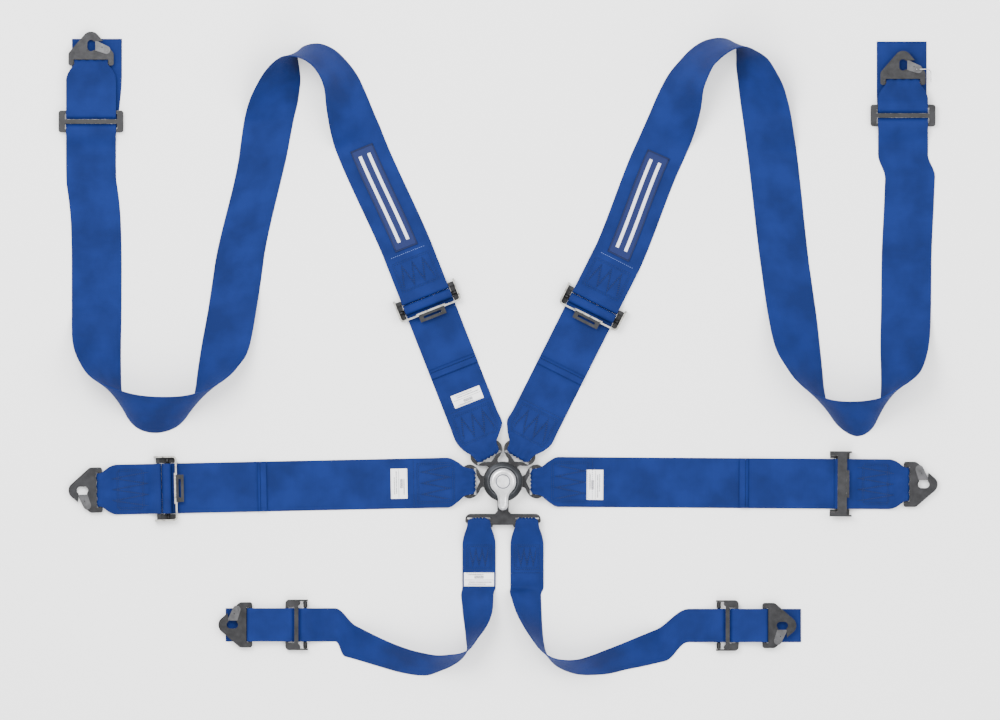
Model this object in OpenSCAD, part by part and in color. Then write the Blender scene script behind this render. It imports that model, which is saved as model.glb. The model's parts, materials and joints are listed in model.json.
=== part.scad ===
// Six-point rotary-buckle racing harness, laid out flat.
// +Z is up, +Y runs from the buckle towards the shoulder hooks, and the origin is the
// centre of the buckle's back face. Everything lies on the plane z = 0. Millimetres.

/* [Webbing] */
// Thickness of one layer of webbing
web_t = 1.5; // [1.2:0.1:1.8]
// Gap left between two layers that lie on each other
web_gap = 0.3; // [0.2:0.1:0.5]
// Width of the shoulder webbing
shoulder_w = 75; // [62:1:90]
// Width of the lap webbing
lap_w = 75; // [62:1:90]
// Width of the crotch webbing
crotch_w = 50; // [41:1:60]
// Width of a shoulder or lap strap where it is gathered into a tongue or a hook
pinch_w = 38; // [32:1:40]
// Width of a crotch strap where it is gathered into the crotch tongue
crotch_pinch_w = 33; // [28:1:36]
// Length of the folded hem at a pull end
hem_l = 12; // [10:1:15]
// Length of webbing doubled back and sewn behind each tongue
sewn_l = 86; // [70:1:100]

/* [Buckle] */
// Outer radius of the buckle
buckle_r = 30; // [26:0.5:36]
// Thickness of the back plate
back_t = 3; // [2:0.5:4]
// Height of the housing above the back plate
housing_h = 17; // [15:0.5:20]
// Thickness of the housing wall
housing_wall = 6; // [5:0.5:7]
// Thickness of the cover
cover_t = 4.5; // [3:0.5:6]
// Radius of the release lever's disc
lever_r = 19.5; // [16:0.5:23]
// Reach of the release lever from the buckle centre
lever_reach = 43; // [36:1:51]
// Width of the release lever's arm
lever_w = 14.4; // [12:0.2:17]
// Thickness of the release lever
lever_t = 5.5; // [4.5:0.5:7]
// Radius of the spindle
spindle_r = 6; // [5:0.5:7]
// Radius of the round badge on the lever
badge_r = 11; // [9:0.5:13]

/* [Tongues] */
// Thickness of a tongue
tongue_t = 3; // [2.5:0.5:3.5]
// Width of a tongue's neck
neck_w = 17; // [14:0.5:19]
// Distance from the buckle's edge to the bar that carries the webbing
tongue_reach = 16; // [14:0.5:19]
// Width of a tongue's webbing bar along the strap
tongue_bar = 5; // [4:0.5:6]
// Width of a fork arm
arm_w = 6; // [5:0.5:6.5]
// Distance from the buckle's edge to the crotch tongue's webbing bars
crotch_reach = 29; // [26:0.5:34]
// Spread of the two crotch straps, centre to centre
crotch_spread = 72; // [68:1:86]

/* [Adjusters] */
// Radius of a lap or shoulder adjuster's knurled bar
roller_r = 4; // [3.3:0.1:4.8]
// Travel of a knurled bar in its slots
roller_travel = 3; // [2:0.5:4]
// Height of a lap or shoulder adjuster frame
frame_h = 12.5; // [12:0.5:15]
// Wall of an adjuster frame
frame_wall = 2.5; // [2:0.5:3]
// Length of the pull tab
tab_l = 10; // [8:1:12]
// Width of the pull tab
tab_w = 41; // [34:1:49]
// Length of a three-bar slide along the strap
slide_l = 33; // [30:1:38]
// Thickness of a three-bar slide
slide_t = 2.4; // [2:0.1:2.8]
// Radius of a crotch adjuster's knurled bar
crotch_roller_r = 2.2; // [1.8:0.1:2.4]

/* [Hooks] */
// Overall width of a snap hook
hook_w = 68; // [66:1:80]
// Thickness of a snap hook's plate
hook_t = 4; // [3.5:0.1:4.4]
// Distance from a hook's webbing bar to its nose
hook_l = 48; // [44:1:56]
// Width of the webbing bar along the strap
hook_bar = 6; // [5:0.5:7]
// Radius of the eye's round seat
eye_r = 5.5; // [4.8:0.1:6.5]
// Distance between the centres of the eye's two round ends
eye_l = 6; // [5:0.5:8]
// Rim between the eye's seat and the nose
hook_rim = 12.5; // [10:0.5:14]
// Width of a strap where it is gathered into a hook
hook_pinch_w = 50; // [44:1:52]
// Thickness of one cheek of a gate
gate_t = 1.2; // [1:0.1:1.5]
// Radius of a gate pin
pin_r = 2; // [1.6:0.1:2.4]

/* [Strap lengths] */
// Buckle centre to the lap adjuster's bar
lap_inner_l = 503; // [420:1:600]
// Lap adjuster's bar to the lap hook's bar
lap_outer_l = 101; // [92:1:118]
// Buckle centre to the shoulder adjuster's bar
shoulder_inner_l = 291; // [243:1:349]
// Length of the pull end that lies on a lap strap
lap_tail_l = 147; // [122:1:176]
// Length of the pull end that lies on a shoulder strap
shoulder_tail_l = 108; // [90:1:130]
// Length of the sewn end at a shoulder adjuster's rear bar
rear_sewn_l = 76; // [63:1:90]
// Thickness of the patch on a shoulder strap
patch_t = 0.8; // [0.6:0.1:1]
// Width of the patch on a shoulder strap
patch_w = 36; // [30:1:43]

/* [Hidden] */

webbing_blue = "#1f4a9c";
steel_dark = "#3c3d40";
steel_black = "#18181a";
bright = "#c9cacc";

$fn = 64;
layer_step = web_t + web_gap;
fit = 0.3;                 // clearance between pieces that move past each other
run = 0.05;                // radial clearance of a pin in its hole
drawn_w = 75;              // webbing width at which the folds' edges are drawn
crotch_drawn_w = 50;
tongue_z = back_t + 5;     // underside of the tongues
bar_s = buckle_r + tongue_reach;
crotch_bar_s = buckle_r + crotch_reach;
tongue_turn = norm([tongue_bar, tongue_t]) / 2 + fit + web_t / 2;
hook_turn = norm([hook_bar, hook_t]) / 2 + fit + web_t / 2;
roller_turn = roller_r + fit + web_t / 2;
rear_bar = 5;              // width of an adjuster's rear bar
rear_bar_t = 3;
rear_turn = norm([rear_bar, rear_bar_t]) / 2 + fit + web_t / 2;
rear_gap = roller_travel + roller_turn + web_t + fit + rear_turn;

// Height of the middle of webbing layer k above the floor
function layer(k) = web_t / 2 + k * layer_step;

// ---------------------------------------------------------------- strap geometry
function unit(v) = v / norm(v);
function arc(s, z, r, a0, a1, w, n = 6) =
    [for (i = [0:n]) let (a = a0 + (a1 - a0) * i / n) [s + r * cos(a), z + r * sin(a), w]];

// Edge pairs of a strap that runs in one upright plane: rows are [distance, height, width,
// sideways offset, turn], o is the plane's origin, h its heading, side swaps the two edges.
function upright(o, h, side, rows) =
    [for (r = rows)
        let (a = h + (len(r) > 4 ? r[4] : 0), n = [-sin(a), cos(a), 0], shift = len(r) > 3 ? r[3] : 0,
             c = [o[0], o[1], 0] + [cos(a), sin(a), 0] * r[0] + [0, 0, r[1]] + n * shift)
        [c + n * side * r[2] / 2, c - n * side * r[2] / 2]];

// Edge pairs of a strap that stands on one edge: rows are [x, y] of the edge on the floor and
// of the raised edge, as drawn for webbing drawn wide; the width that the plan doesn't use is height.
function standing(rows, w, drawn, raised_first) =
    [for (r = rows)
        let (f = [r[0], r[1]], e = [r[2], r[3]], c = (f + e) / 2,
             half = (e - f) / 2 * min(1, drawn / norm(e - f)) * w / drawn,
             rise = sqrt(max(0, w * w - 4 * half * half)),
             low = [c[0] - half[0], c[1] - half[1], layer(0)],
             high = [c[0] + half[0], c[1] + half[1], layer(0) + rise])
        raised_first ? [high, low] : [low, high]];

// Normal of the strip through the edge pairs, at pair i
function normal(pairs, i) =
    let (n = len(pairs), a = pairs[max(i - 1, 0)], b = pairs[min(i + 1, n - 1)])
    unit(cross(b[0] + b[1] - a[0] - a[1], pairs[i][0] - pairs[i][1]));

// Edge pairs of a strip of width w, lifted off the strip through the given pairs
function lifted(pairs, w, lift) =
    [for (i = [0:len(pairs) - 1])
        let (c = (pairs[i][0] + pairs[i][1]) / 2, u = unit(pairs[i][0] - pairs[i][1]) * w / 2,
             k = normal(pairs, i), up = k * lift * sign(k[2]))
        [c + u + up, c - u + up]];

// Rows with n - 1 smooth ones added between each two
function fine(rows, n = 3) =
    let (m = len(rows) - 1)
    [for (i = [0:m - 1], k = [0:n - 1])
        let (t = k / n, a = rows[max(i - 1, 0)], b = rows[i], c = rows[i + 1],
             d = rows[min(i + 2, m)])
        b + (c - a) * t / 2 + (2 * a - 5 * b + 4 * c - d) * t * t / 2
            + (3 * b - a - 3 * c + d) * t * t * t / 2,
     rows[m]];

// A strip of thickness t through the edge pairs; both faces are cut along the same diagonals
module strap(pairs, t = web_t) {
    n = len(pairs);
    corners = [for (i = [0:n - 1])
        let (k = normal(pairs, i) * t / 2)
        each [pairs[i][0] + k, pairs[i][1] + k, pairs[i][1] - k, pairs[i][0] - k]];
    sides = [for (i = [0:n - 2], j = [0:3])
        let (a = 4 * i + j, b = 4 * i + (j + 1) % 4)
        each j == 2 ? [[a, b, a + 4], [b, b + 4, a + 4]] : [[a, b, b + 4], [a, b + 4, a + 4]]];
    caps = [[2, 1, 0], [3, 2, 0], [4 * n - 4, 4 * n - 3, 4 * n - 2], [4 * n - 4, 4 * n - 2, 4 * n - 1]];
    polyhedron(corners, [for (f = concat(sides, caps)) [f[2], f[1], f[0]]]);
}

// Rows of the sewn end round a tongue's bar, from the short layer beneath to the long one on
// top; turn brings the loop square to a tongue that points another way than the strap
function tongue_rows(s, w, pinch, turn) =
    let (z = tongue_z + tongue_t / 2, r = tongue_turn)
    concat(
        [[s + sewn_l, layer(0), w], [s + 56, layer(0), w], [s + 36, 1.3 * layer(0) + 0.6, w],
         [s + 22, z - r - 2.4, (w + pinch) / 2 + 4, 0, turn / 2],
         [s + 10, z - r - 0.4, pinch + 4, 0, turn]],
        [for (p = arc(s, z, r, 270, 90, pinch, 10))
            [p[0], p[1], p[2] * (1 - 0.36 * pow(max(0, (s - p[0]) / r), 2)), 0, turn]],
        [[s + 10, z + r - 0.6, pinch + 4, 0, turn],
         [s + 22, z + r - 3.6, (w + pinch) / 2 + 4, 0, turn / 2],
         [s + 36, z + r - 8, w], [s + 56, layer(1) + 0.8, w],
         [s + 68, layer(1), w], [s + sewn_l + 2, layer(1), w], [s + sewn_l + 14, layer(0), w]]);

// Rows of the run to a knurled bar at distance s, round it and back as a hemmed pull end
function roller_rows(s, w, tail) =
    let (r = roller_turn, z = layer(0) + r, back = s + roller_travel)
    concat(
        [[s - tail - 12, layer(0), w], [s - 30, layer(0), w]],
        arc(back, z, r, 270, 450, w, 8),
        arc(s, z, r, 90, 190, w, 6),
        [[s - r - 1.8, layer(1) + 0.5, w], [s - r - 4.5, layer(1), w], [s - tail, layer(1), w]],
        arc(s - tail, layer(1) + layer_step / 2, layer_step / 2, 250, 110, w, 3),
        [[s - tail, layer(2), w], [s - tail + hem_l, layer(2), w]]);

// Width of a strap part of the way from its gathered end at a hook to its full width
function gathered(w, share) = hook_pinch_w + (w - hook_pinch_w) * share;

// Rows of the endless strap between an adjuster's rear bar at a and a hook's bar at b
function link_rows(a, b, w) =
    let (ra = rear_turn, rb = hook_turn, mid = (a + b) / 2)
    concat(
        [[mid, layer(0), w], [b - 24, layer(0), w], [b - 14, layer(0), gathered(w, 0.75)],
         [b - 7, layer(0), gathered(w, 0.35)]],
        arc(b, layer(0) + rb, rb, -90, 90, hook_pinch_w, 8),
        [[b - 7, layer(0) + 2 * rb - 0.8, gathered(w, 0.35)],
         [b - 14, layer(0) + 2 * rb - 2.6, gathered(w, 0.75)],
         [b - 24, layer(1) + 1, w], [b - 34, layer(1), w], [a + 20, layer(1), w],
         [a + 10, layer(0) + 2 * ra - 2, w]],
        arc(a, layer(0) + ra, ra, 90, 270, w, 8),
        [[mid - 1, layer(0), w]]);

// Height of a hook's bar where a tail lies beneath the strap's own loop
wrap_hook_z = layer(1) + hook_turn;
slide_z = layer(2) + web_t / 2 + 0.45;

// Rows of a strap that weaves through a slide at distance s, turns round a hook's bar at b
// and comes back beneath as a tail that ends at distance e
function wrap_rows(s, b, e, w, pinch, tail_shift) =
    let (over = slide_z + slide_t + fit + web_t / 2 + 0.3, r = hook_turn, half = slide_l / 2)
    concat(
        [[s - half - 42, layer(0), w], [s - half - 22, 2.4 * layer(0) + 0.8, w],
         [s - half - 6, over - 1.4, w], [s - half + 3, over, w], [s - half + 7, over - 0.1, w],
         [s - half + 10, over - 2.2, w], [s - 5, layer(2) + 0.3, w], [s, layer(2), w],
         [s + 5, layer(2) + 0.3, w], [s + half - 10, over - 2.2, w], [s + half - 7, over - 0.1, w],
         [s + half - 3, over, w], [s + half + 4, over + 0.4, w],
         [b - 24, wrap_hook_z + r - 1, w], [b - 15, wrap_hook_z + r - 0.4, pinch + 0.8 * (w - pinch)],
         [b - 7, wrap_hook_z + r - 0.1, pinch + 0.4 * (w - pinch)]],
        arc(b, wrap_hook_z, r, 90, -90, pinch, 8),
        [[b - 7, layer(1), pinch + 0.4 * (w - pinch)],
         [b - 15, layer(1), pinch + 0.8 * (w - pinch)], [b - 24, layer(1), w],
         [s - half - 1, layer(1), w]],
        arc(s - half - 1, layer(0) + layer_step / 2, layer_step / 2, 110, 250, w, 3),
        [[s - half - 1, layer(0), w], [s, layer(0), w, tail_shift * 0.3],
         [b - 15, layer(0), w, tail_shift], [e, layer(0), w, tail_shift]]);

// ---------------------------------------------------------------- routes, in round millimetres
// A limb is [side, heading, gate side]: the plane in which its first stretch runs
lap_heading = [181.2, -0.4];
shoulder_heading = [111.4, 63.3];
shoulder_root = [[-23, 40], [23, 40]];
shoulder_slide_y = [540, 549];
shoulder_hook_y = [627, 598];
shoulder_hook_x = [-618, 600];
shoulder_tail_y = [664, 660];
shoulder_tail_shift = [9, 2];
crotch_slide_x = [-310, 337];
crotch_hook_x = [-379, 392];
crotch_end_y = [-215, -216];
crotch_tail_x = [-416, 447];

// Folds of the shoulder straps: floor edge x, y, then raised edge x, y
top_fold = [
    [[-170, 497, -240, 469], [-180, 522, -250, 493], [-193, 552, -259, 525], [-206, 583, -265, 560],
     [-219, 610, -268, 588], [-236, 632, -274, 606], [-255, 649, -283, 620], [-278, 657, -294, 630],
     [-300, 652, -310, 637], [-308, 640, -328, 638], [-306, 622, -343, 630], [-304, 605, -358, 614],
     [-305, 590, -370, 594], [-308, 568, -381, 570], [-314, 542, -389, 538], [-322, 497, -397, 484]],
    [[192, 490, 261, 460], [206, 521, 275, 491], [219, 550, 288, 524], [232, 580, 297, 559],
     [248, 610, 301, 588], [266, 632, 309, 610], [284, 650, 317, 625], [305, 662, 333, 640],
     [330, 665, 348, 649], [348, 656, 364, 652], [350, 640, 381, 645], [350, 622, 397, 634],
     [352, 605, 409, 616], [354, 587, 421, 592], [357, 562, 430, 560], [361, 535, 435, 532],
     [366, 497, 441, 492]]];
bottom_fold = [
    [[-432, 330, -357, 342], [-442, 260, -368, 268], [-452, 205, -381, 200], [-458, 165, -398, 172],
     [-462, 135, -415, 155], [-470, 105, -440, 140], [-490, 82, -475, 129], [-520, 73, -516, 127],
     [-548, 80, -555, 131], [-566, 102, -590, 142], [-572, 135, -612, 152], [-573, 165, -630, 170],
     [-573, 205, -645, 205], [-572, 260, -647, 255], [-572, 340, -647, 340], [-574, 405, -649, 398],
     [-580, 455, -655, 448]],
    [[459, 330, 384, 340], [470, 250, 396, 258], [475, 205, 408, 203], [479, 165, 425, 172],
     [482, 135, 440, 152], [490, 103, 462, 134], [507, 80, 494, 122], [531, 68, 531, 120],
     [552, 78, 565, 125], [564, 102, 588, 137], [567, 135, 610, 150], [567, 165, 628, 168],
     [566, 205, 639, 205], [567, 260, 642, 258], [568, 340, 643, 342], [571, 405, 646, 409],
     [573, 455, 648, 458]]];
// Half twist of the crotch straps: floor edge x, y, then raised edge x, y
crotch_twist = [
    [[-63, -170, -14, -168], [-60, -200, -16, -196], [-57, -222, -24, -216], [-55, -240, -37, -234],
     [-54, -254, -50, -251], [-62, -266, -64, -258], [-76, -276, -80, -260], [-94, -284, -98, -261],
     [-117, -291, -117, -258], [-150, -287, -141, -252], [-180, -279, -168, -242],
     [-210, -270, -196, -229], [-238, -262, -223, -215]],
    [[57, -170, 10, -166], [58, -200, 19, -194], [59, -222, 29, -214], [61, -242, 42, -234],
     [65, -258, 56, -252], [75, -272, 73, -264], [90, -282, 93, -268], [112, -289, 113, -267],
     [136, -290, 133, -261], [160, -288, 151, -254], [185, -282, 174, -245],
     [215, -276, 203, -233], [245, -269, 232, -221]]];

// ---------------------------------------------------------------- webbing
module lap_inner_webbing(i) {
    color(webbing_blue) strap(upright([0, 0], lap_heading[i], 1, concat(
        tongue_rows(bar_s, lap_w, pinch_w, belt_angles[i] - lap_heading[i]),
        roller_rows(lap_inner_l, lap_w, lap_tail_l))));
}

module lap_outer_webbing(i) {
    color(webbing_blue) strap(upright([0, 0], lap_heading[i], 1,
        link_rows(lap_inner_l + rear_gap, lap_inner_l + lap_outer_l, lap_w)));
}

module shoulder_inner_webbing(i) {
    turn = belt_angles[2 + i] - shoulder_heading[i];
    color(webbing_blue) strap(upright(shoulder_root[i], shoulder_heading[i], 1, concat(
        tongue_rows(0, shoulder_w, pinch_w, turn),
        roller_rows(shoulder_inner_l - bar_s, shoulder_w, shoulder_tail_l))));
}

// Rows from the sewn end round an adjuster's rear bar to the single strap beyond it
function sewn_rear_rows(a, w) =
    let (r = rear_turn)
    concat(
        [[a + rear_sewn_l - 14, layer(0), w], [a + 18, layer(0), w]],
        arc(a, layer(0) + r, r, 270, 90, w, 8),
        [[a + 10, layer(0) + 2 * r - 2, w], [a + 20, layer(1), w],
         [a + rear_sewn_l - 12, layer(1), w], [a + rear_sewn_l, layer(0), w]]);

module shoulder_outer_webbing(i) {
    flip = i == 0 ? -1 : 1;
    color(webbing_blue) strap(concat(
        upright(shoulder_root[i], shoulder_heading[i], flip,
            sewn_rear_rows(shoulder_inner_l - bar_s + rear_gap, shoulder_w)),
        standing(fine(top_fold[i]), shoulder_w, drawn_w, false),
        standing(fine(bottom_fold[i]), shoulder_w, drawn_w, true),
        upright([shoulder_hook_x[i], 0], 90, -flip,
            wrap_rows(shoulder_slide_y[i], shoulder_hook_y[i], shoulder_tail_y[i], shoulder_w,
                hook_pinch_w, flip * shoulder_tail_shift[i]))));
}

module crotch_webbing(i) {
    flip = i == 0 ? -1 : 1;
    out = i == 0 ? 180 : 0;
    x = flip * crotch_spread / 2;
    color(webbing_blue) strap(concat(
        upright([x, 0], 270, flip, tongue_rows(crotch_bar_s, crotch_w, crotch_pinch_w, 0)),
        standing(fine(crotch_twist[i]), crotch_w, crotch_drawn_w, false),
        upright([0, crotch_end_y[i]], out, -flip,
            wrap_rows(abs(crotch_slide_x[i]), abs(crotch_hook_x[i]), abs(crotch_tail_x[i]),
                crotch_w, min(crotch_w, hook_pinch_w), 0))));
}

// Patch on the single strap between the sewn end and the top fold
module shoulder_patch(i) {
    flip = i == 0 ? -1 : 1;
    start = shoulder_inner_l - bar_s + rear_gap + rear_sewn_l + 2;
    under = concat(
        upright(shoulder_root[i], shoulder_heading[i], flip, [[start, layer(0), shoulder_w]]),
        standing([for (k = [0, 1]) top_fold[i][k]], shoulder_w, drawn_w, false));
    color("#1c2f7c") strap(lifted(under, patch_w, (web_t + patch_t) / 2 + 0.2), patch_t);
}

// ---------------------------------------------------------------- placing
// Children lie with +X along a limb, s millimetres out from its origin
module along(o, h, s) {
    translate([o[0], o[1], 0]) rotate(h) translate([s, 0, 0]) children();
}
module on_lap(i, s) { along([0, 0], lap_heading[i], s) children(); }
module on_shoulder(i, s) { along(shoulder_root[i], shoulder_heading[i], s - bar_s) children(); }
module at_shoulder_end(i, y) {
    along([shoulder_hook_x[i], 0], 90, y) children();
}
module on_crotch(i, s) {
    along([0, crotch_end_y[i]], i == 0 ? 180 : 0, s) children();
}

// ---------------------------------------------------------------- buckle
belt_angles = [180, 0, 120, 60, 270];      // lap, lap, shoulder, shoulder, crotch
screw_angles = [30, 90, 150, 225, 315];
screw_r = 1.6;
screw_head_r = 2.8;
rim_h = 2.6;                               // the housing's rim stands round the cover
cavity_r = buckle_r - housing_wall;
housing_top = back_t + housing_h;
rim_t = 1.3;
latch_s = cavity_r - 4;                    // where a latch nose drops into its tongue
latch_r = 2.6;
tongue_in = 0.87 * neck_w + 0.7;           // a tongue ends here, clear of those 60 degrees away
cover_z = housing_top + 0.2;
lever_z = cover_z + cover_t + 0.3;
cam_z = tongue_z + tongue_t + 2;
cam_t = 3;

module around(angles) { for (a = angles) rotate(a) children(); }
module at_screws(z) { around(screw_angles) translate([buckle_r - housing_wall / 2, 0, z]) children(); }

module back_plate() {
    color(steel_black) difference() {
        cylinder(r = buckle_r - 1, h = back_t);
        at_screws(-1) cylinder(r = screw_r + run, h = back_t + 2);
        at_screws(-1) cylinder(r = screw_head_r + 0.1, h = 2.2);
    }
}

module housing() {
    slot_w = neck_w + 2 * fit;
    color(steel_black) translate([0, 0, back_t]) difference() {
        cylinder(r = buckle_r, h = housing_h + rim_h);
        translate([0, 0, -1]) cylinder(r = cavity_r, h = housing_h + 2);
        translate([0, 0, housing_h]) cylinder(r = buckle_r - rim_t, h = 4);
        around(belt_angles) translate([0, -slot_w / 2, tongue_z - back_t - fit])
            cube([buckle_r + 2, slot_w, tongue_t + 2 * fit]);
        at_screws(-1) cylinder(r = screw_r + run, h = housing_h - 2);
    }
}

module cover_screws() {
    color(bright) at_screws(0.2) {
        cylinder(r = screw_r, h = housing_h - 3);
        cylinder(r = screw_head_r, h = 0.9);
    }
}

module cover() {
    top_r = lever_r + 3.2;
    color(steel_dark) translate([0, 0, cover_z]) difference() {
        rotate_extrude() polygon([[0, 0], [buckle_r - rim_t - 0.15, 0], [buckle_r - rim_t - 0.15, 1.6],
            [top_r, cover_t], [0, cover_t]]);
        translate([0, 0, -1]) cylinder(r = spindle_r + run, h = cover_t + 2);
    }
}

module lever() {
    tip_r = lever_w / 2;
    color(bright) {
        translate([0, 0, lever_z]) difference() {
            union() {
                rotate_extrude() polygon([[0, 0], [lever_r, 0], [lever_r, 0.55 * lever_t],
                    [lever_r - 2.2, lever_t], [0, lever_t]]);
                linear_extrude(0.8 * lever_t) hull() {
                    circle(r = tip_r + 1.5, $fn = 32);
                    translate([0, -(lever_reach - tip_r)]) circle(r = tip_r, $fn = 32);
                }
                linear_extrude(0.8 * lever_t) hull() {
                    translate([0, -4]) circle(r = lever_r - 4.5, $fn = 32);
                    translate([0, -lever_r - 5]) circle(r = tip_r, $fn = 32);
                }
            }
            translate([0, 0, lever_t - 0.8]) cylinder(r = badge_r + 0.1, h = 2);
        }
        translate([0, 0, cam_z + cam_t]) cylinder(r = spindle_r, h = lever_z - cam_z - cam_t + 0.5);
        translate([0, 0, cam_z - 1]) cylinder(r = spindle_r - 2, h = cam_t + 2);
    }
}

module lever_badge() {
    color("#d8d9dc") translate([0, 0, lever_z + lever_t - 0.75]) difference() {
        cylinder(r = badge_r, h = 1.1);
        translate([0, 0, 0.8]) difference() {
            cylinder(r = badge_r - 0.8, h = 1);
            translate([0, 0, -1]) cylinder(r = badge_r - 1.6, h = 3);
        }
    }
}

module cam() {
    color(bright) translate([0, 0, cam_z]) difference() {
        union() {
            cylinder(r = spindle_r + 2.5, h = cam_t);
            around([for (a = belt_angles) a + 30]) translate([spindle_r, -2.5, 0]) cube([6, 5, cam_t]);
        }
        translate([0, 0, -1]) cylinder(r = spindle_r - 2 + run, h = cam_t + 2);
    }
}

// One leaf spring over each tongue, with a nose that holds the tongue
module latch_springs() {
    color(bright) around(belt_angles) {
        translate([spindle_r + 4, -3.5, tongue_z + tongue_t + 0.4])
            cube([cavity_r - spindle_r - 4.3, 7, 0.8]);
        translate([latch_s, 0, tongue_z + 0.5]) cylinder(r = latch_r, h = tongue_t + 0.4);
    }
}

// Coils that turn the lever back to its shut position
module return_spring() {
    coil_r = spindle_r + 3;
    wire_r = 0.6;
    low = cam_z + cam_t + 0.3 + wire_r;
    color(bright) {
        for (k = [0:2]) translate([0, 0, low + 1.25 * k])
            rotate_extrude() translate([coil_r, 0]) circle(r = wire_r);
        translate([coil_r, 0, low]) cylinder(r = 0.5, h = 2.5);
    }
}

// ---------------------------------------------------------------- tongues
module limb_line(a, b, r) {
    hull() {
        translate(a) circle(r = r, $fn = 24);
        translate(b) circle(r = r, $fn = 24);
    }
}

// Closed outline from one side's points, mirrored in the X axis
module both_sides(side) {
    last = len(side) - 1;
    polygon(concat(side, [for (i = [last:-1:0]) [side[i][0], -side[i][1]]]));
}

// Forked tongue: neck, two arms and the bar between them, +X away from the buckle
module fork_tongue() {
    inner = pinch_w / 2 + 1;
    r = arm_w / 2;
    root = buckle_r + 2;
    steps = 5;
    way = fine([[buckle_r - 4, neck_w / 2 - r, r], [root - 0.5, neck_w / 2 - r + 0.2, r],
        [root + 4, neck_w / 2 + 0.6, r], [bar_s - 7.5, inner - 5.6, r],
        [bar_s - 3.1, inner + r - 3.2, r], [bar_s + 2.4, inner + r - 0.6, r],
        [bar_s + 7.3, inner + r - 0.2, r - 0.6], [bar_s + 13, inner + r - 2, 0.9]], steps);
    n = len(way) - 1;
    across = [for (i = [0:n])
        let (d = way[min(i + 1, n)] - way[max(i - 1, 0)], l = norm([d[0], d[1]]))
        [-d[1], d[0]] / l * way[i][2]];
    color(steel_dark) translate([0, 0, tongue_z]) linear_extrude(tongue_t) difference() {
        both_sides(concat([[tongue_in, neck_w / 2]],
            [for (i = [0:n]) [way[i][0], way[i][1]] + across[i]],
            [[way[n][0], inner + 0.2], [bar_s + tongue_bar / 2, inner]]));
        translate([latch_s, 0]) circle(r = latch_r + fit);
        both_sides(concat([[root + 3, 0.6]],
            [for (i = [2 * steps:3 * steps]) [way[i][0], way[i][1]] - across[i]]));
        translate([bar_s - tongue_turn - web_t / 2 - 1, -inner])
            square([tongue_turn + web_t / 2 + 1 - tongue_bar / 2, 2 * inner]);
    }
}

// Tee tongue: neck, crossbar and two bars for the crotch straps
module tongue_crotch() {
    half = crotch_spread / 2;
    window = crotch_pinch_w / 2 + 0.8;
    reach = half + window + 3.4;
    top = crotch_bar_s - tongue_turn - web_t / 2 - 6;
    low = crotch_bar_s + tongue_bar / 2;
    web_in = half - window;
    corner_r = 8.5;
    color(steel_dark) rotate(-90) translate([0, 0, tongue_z]) linear_extrude(tongue_t) difference() {
        union() {
            translate([tongue_in, -neck_w / 2]) square([top - tongue_in + 2, neck_w]);
            hull() {
                translate([top - 3.5, 0]) square([1, neck_w], center = true);
                translate([top + 2, 0]) square([1, neck_w + 10], center = true);
            }
            hull() for (m = [-1, 1]) {
                translate([top + corner_r, m * (reach - corner_r)]) circle(r = corner_r, $fn = 48);
                translate([low - 2, m * (reach - 2)]) circle(r = 2, $fn = 32);
            }
            for (m = [-1, 1]) limb_line([low - 3, m * (web_in - 4)], [low + 5, m * (web_in - 1)], 2.4);
        }
        translate([latch_s, 0]) circle(r = latch_r + fit);
        for (m = [-1, 1]) translate([top + 6, m * half - window])
            square([crotch_bar_s - tongue_bar / 2 - top - 6, 2 * window]);
        for (m = [-1, 1]) translate([low, m * half - window]) square([9, 2 * window]);
    }
}

// ---------------------------------------------------------------- pull adjusters
frame_out = 11.5;                          // frame's reach past each edge of the webbing
roller_pin_r = 2.4;
roller_z = layer(0) + roller_turn;
frame_front = roller_turn + 9;
frame_rear = rear_gap + rear_bar / 2 + 0.6;
wing = 3.4;                                // the side walls run on past the rear bar
rail_z = layer(1) + web_t / 2 + fit;
roll_top = roller_z + roller_turn + web_t / 2;

lip = 1.3;                                 // half the thickness of the frame's front lip
lip_in = frame_front - 3;                  // the lip steps back to here in front of the tab
slot_tab_w = tab_w - 13;
slot_tab_l = 3.6;

// The front lip in plan: round the corners, then a step back behind the tab
module front_lip(half) {
    step = tab_w / 2;
    r = 6;
    overlap = 0.5;
    for (m = [-1, 1]) mirror([0, m > 0 ? 0 : 1]) {
        translate([r - frame_front, half - r]) intersection() {
            difference() {
                circle(r = r);
                circle(r = r - 2 * lip);
            }
            translate([-r - 1, 0]) square(r + 1);
        }
        translate([r - frame_front - overlap, half - 2 * lip]) square([frame_front, 2 * lip]);
        translate([-frame_front, step]) square([2 * lip, half - r - step + overlap]);
        translate([-frame_front, step]) square([frame_front - lip_in + lip, 2 * lip]);
    }
    translate([-lip_in - lip, -step - lip]) square([2 * lip, 2 * (step + lip)]);
}

// Pull tab in plan: a plate with a finger slot
module pull_tab() {
    difference() {
        translate([-frame_front - tab_l, -tab_w / 2]) square([tab_l + frame_front - lip_in, tab_w]);
        translate([-frame_front - tab_l / 2 - slot_tab_l / 2 + 1, -slot_tab_w / 2])
            square([slot_tab_l, slot_tab_w]);
    }
}

// Slot that a knurled bar's end slides in, along X, cut through along Y
module roller_slot(r, travel, y, wall) {
    for (x = [0, travel]) translate([x, y, 0]) rotate([-90, 0, 0]) cylinder(r = r, h = wall);
    translate([0, y, -r]) cube([travel, wall, 2 * r]);
}

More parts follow.
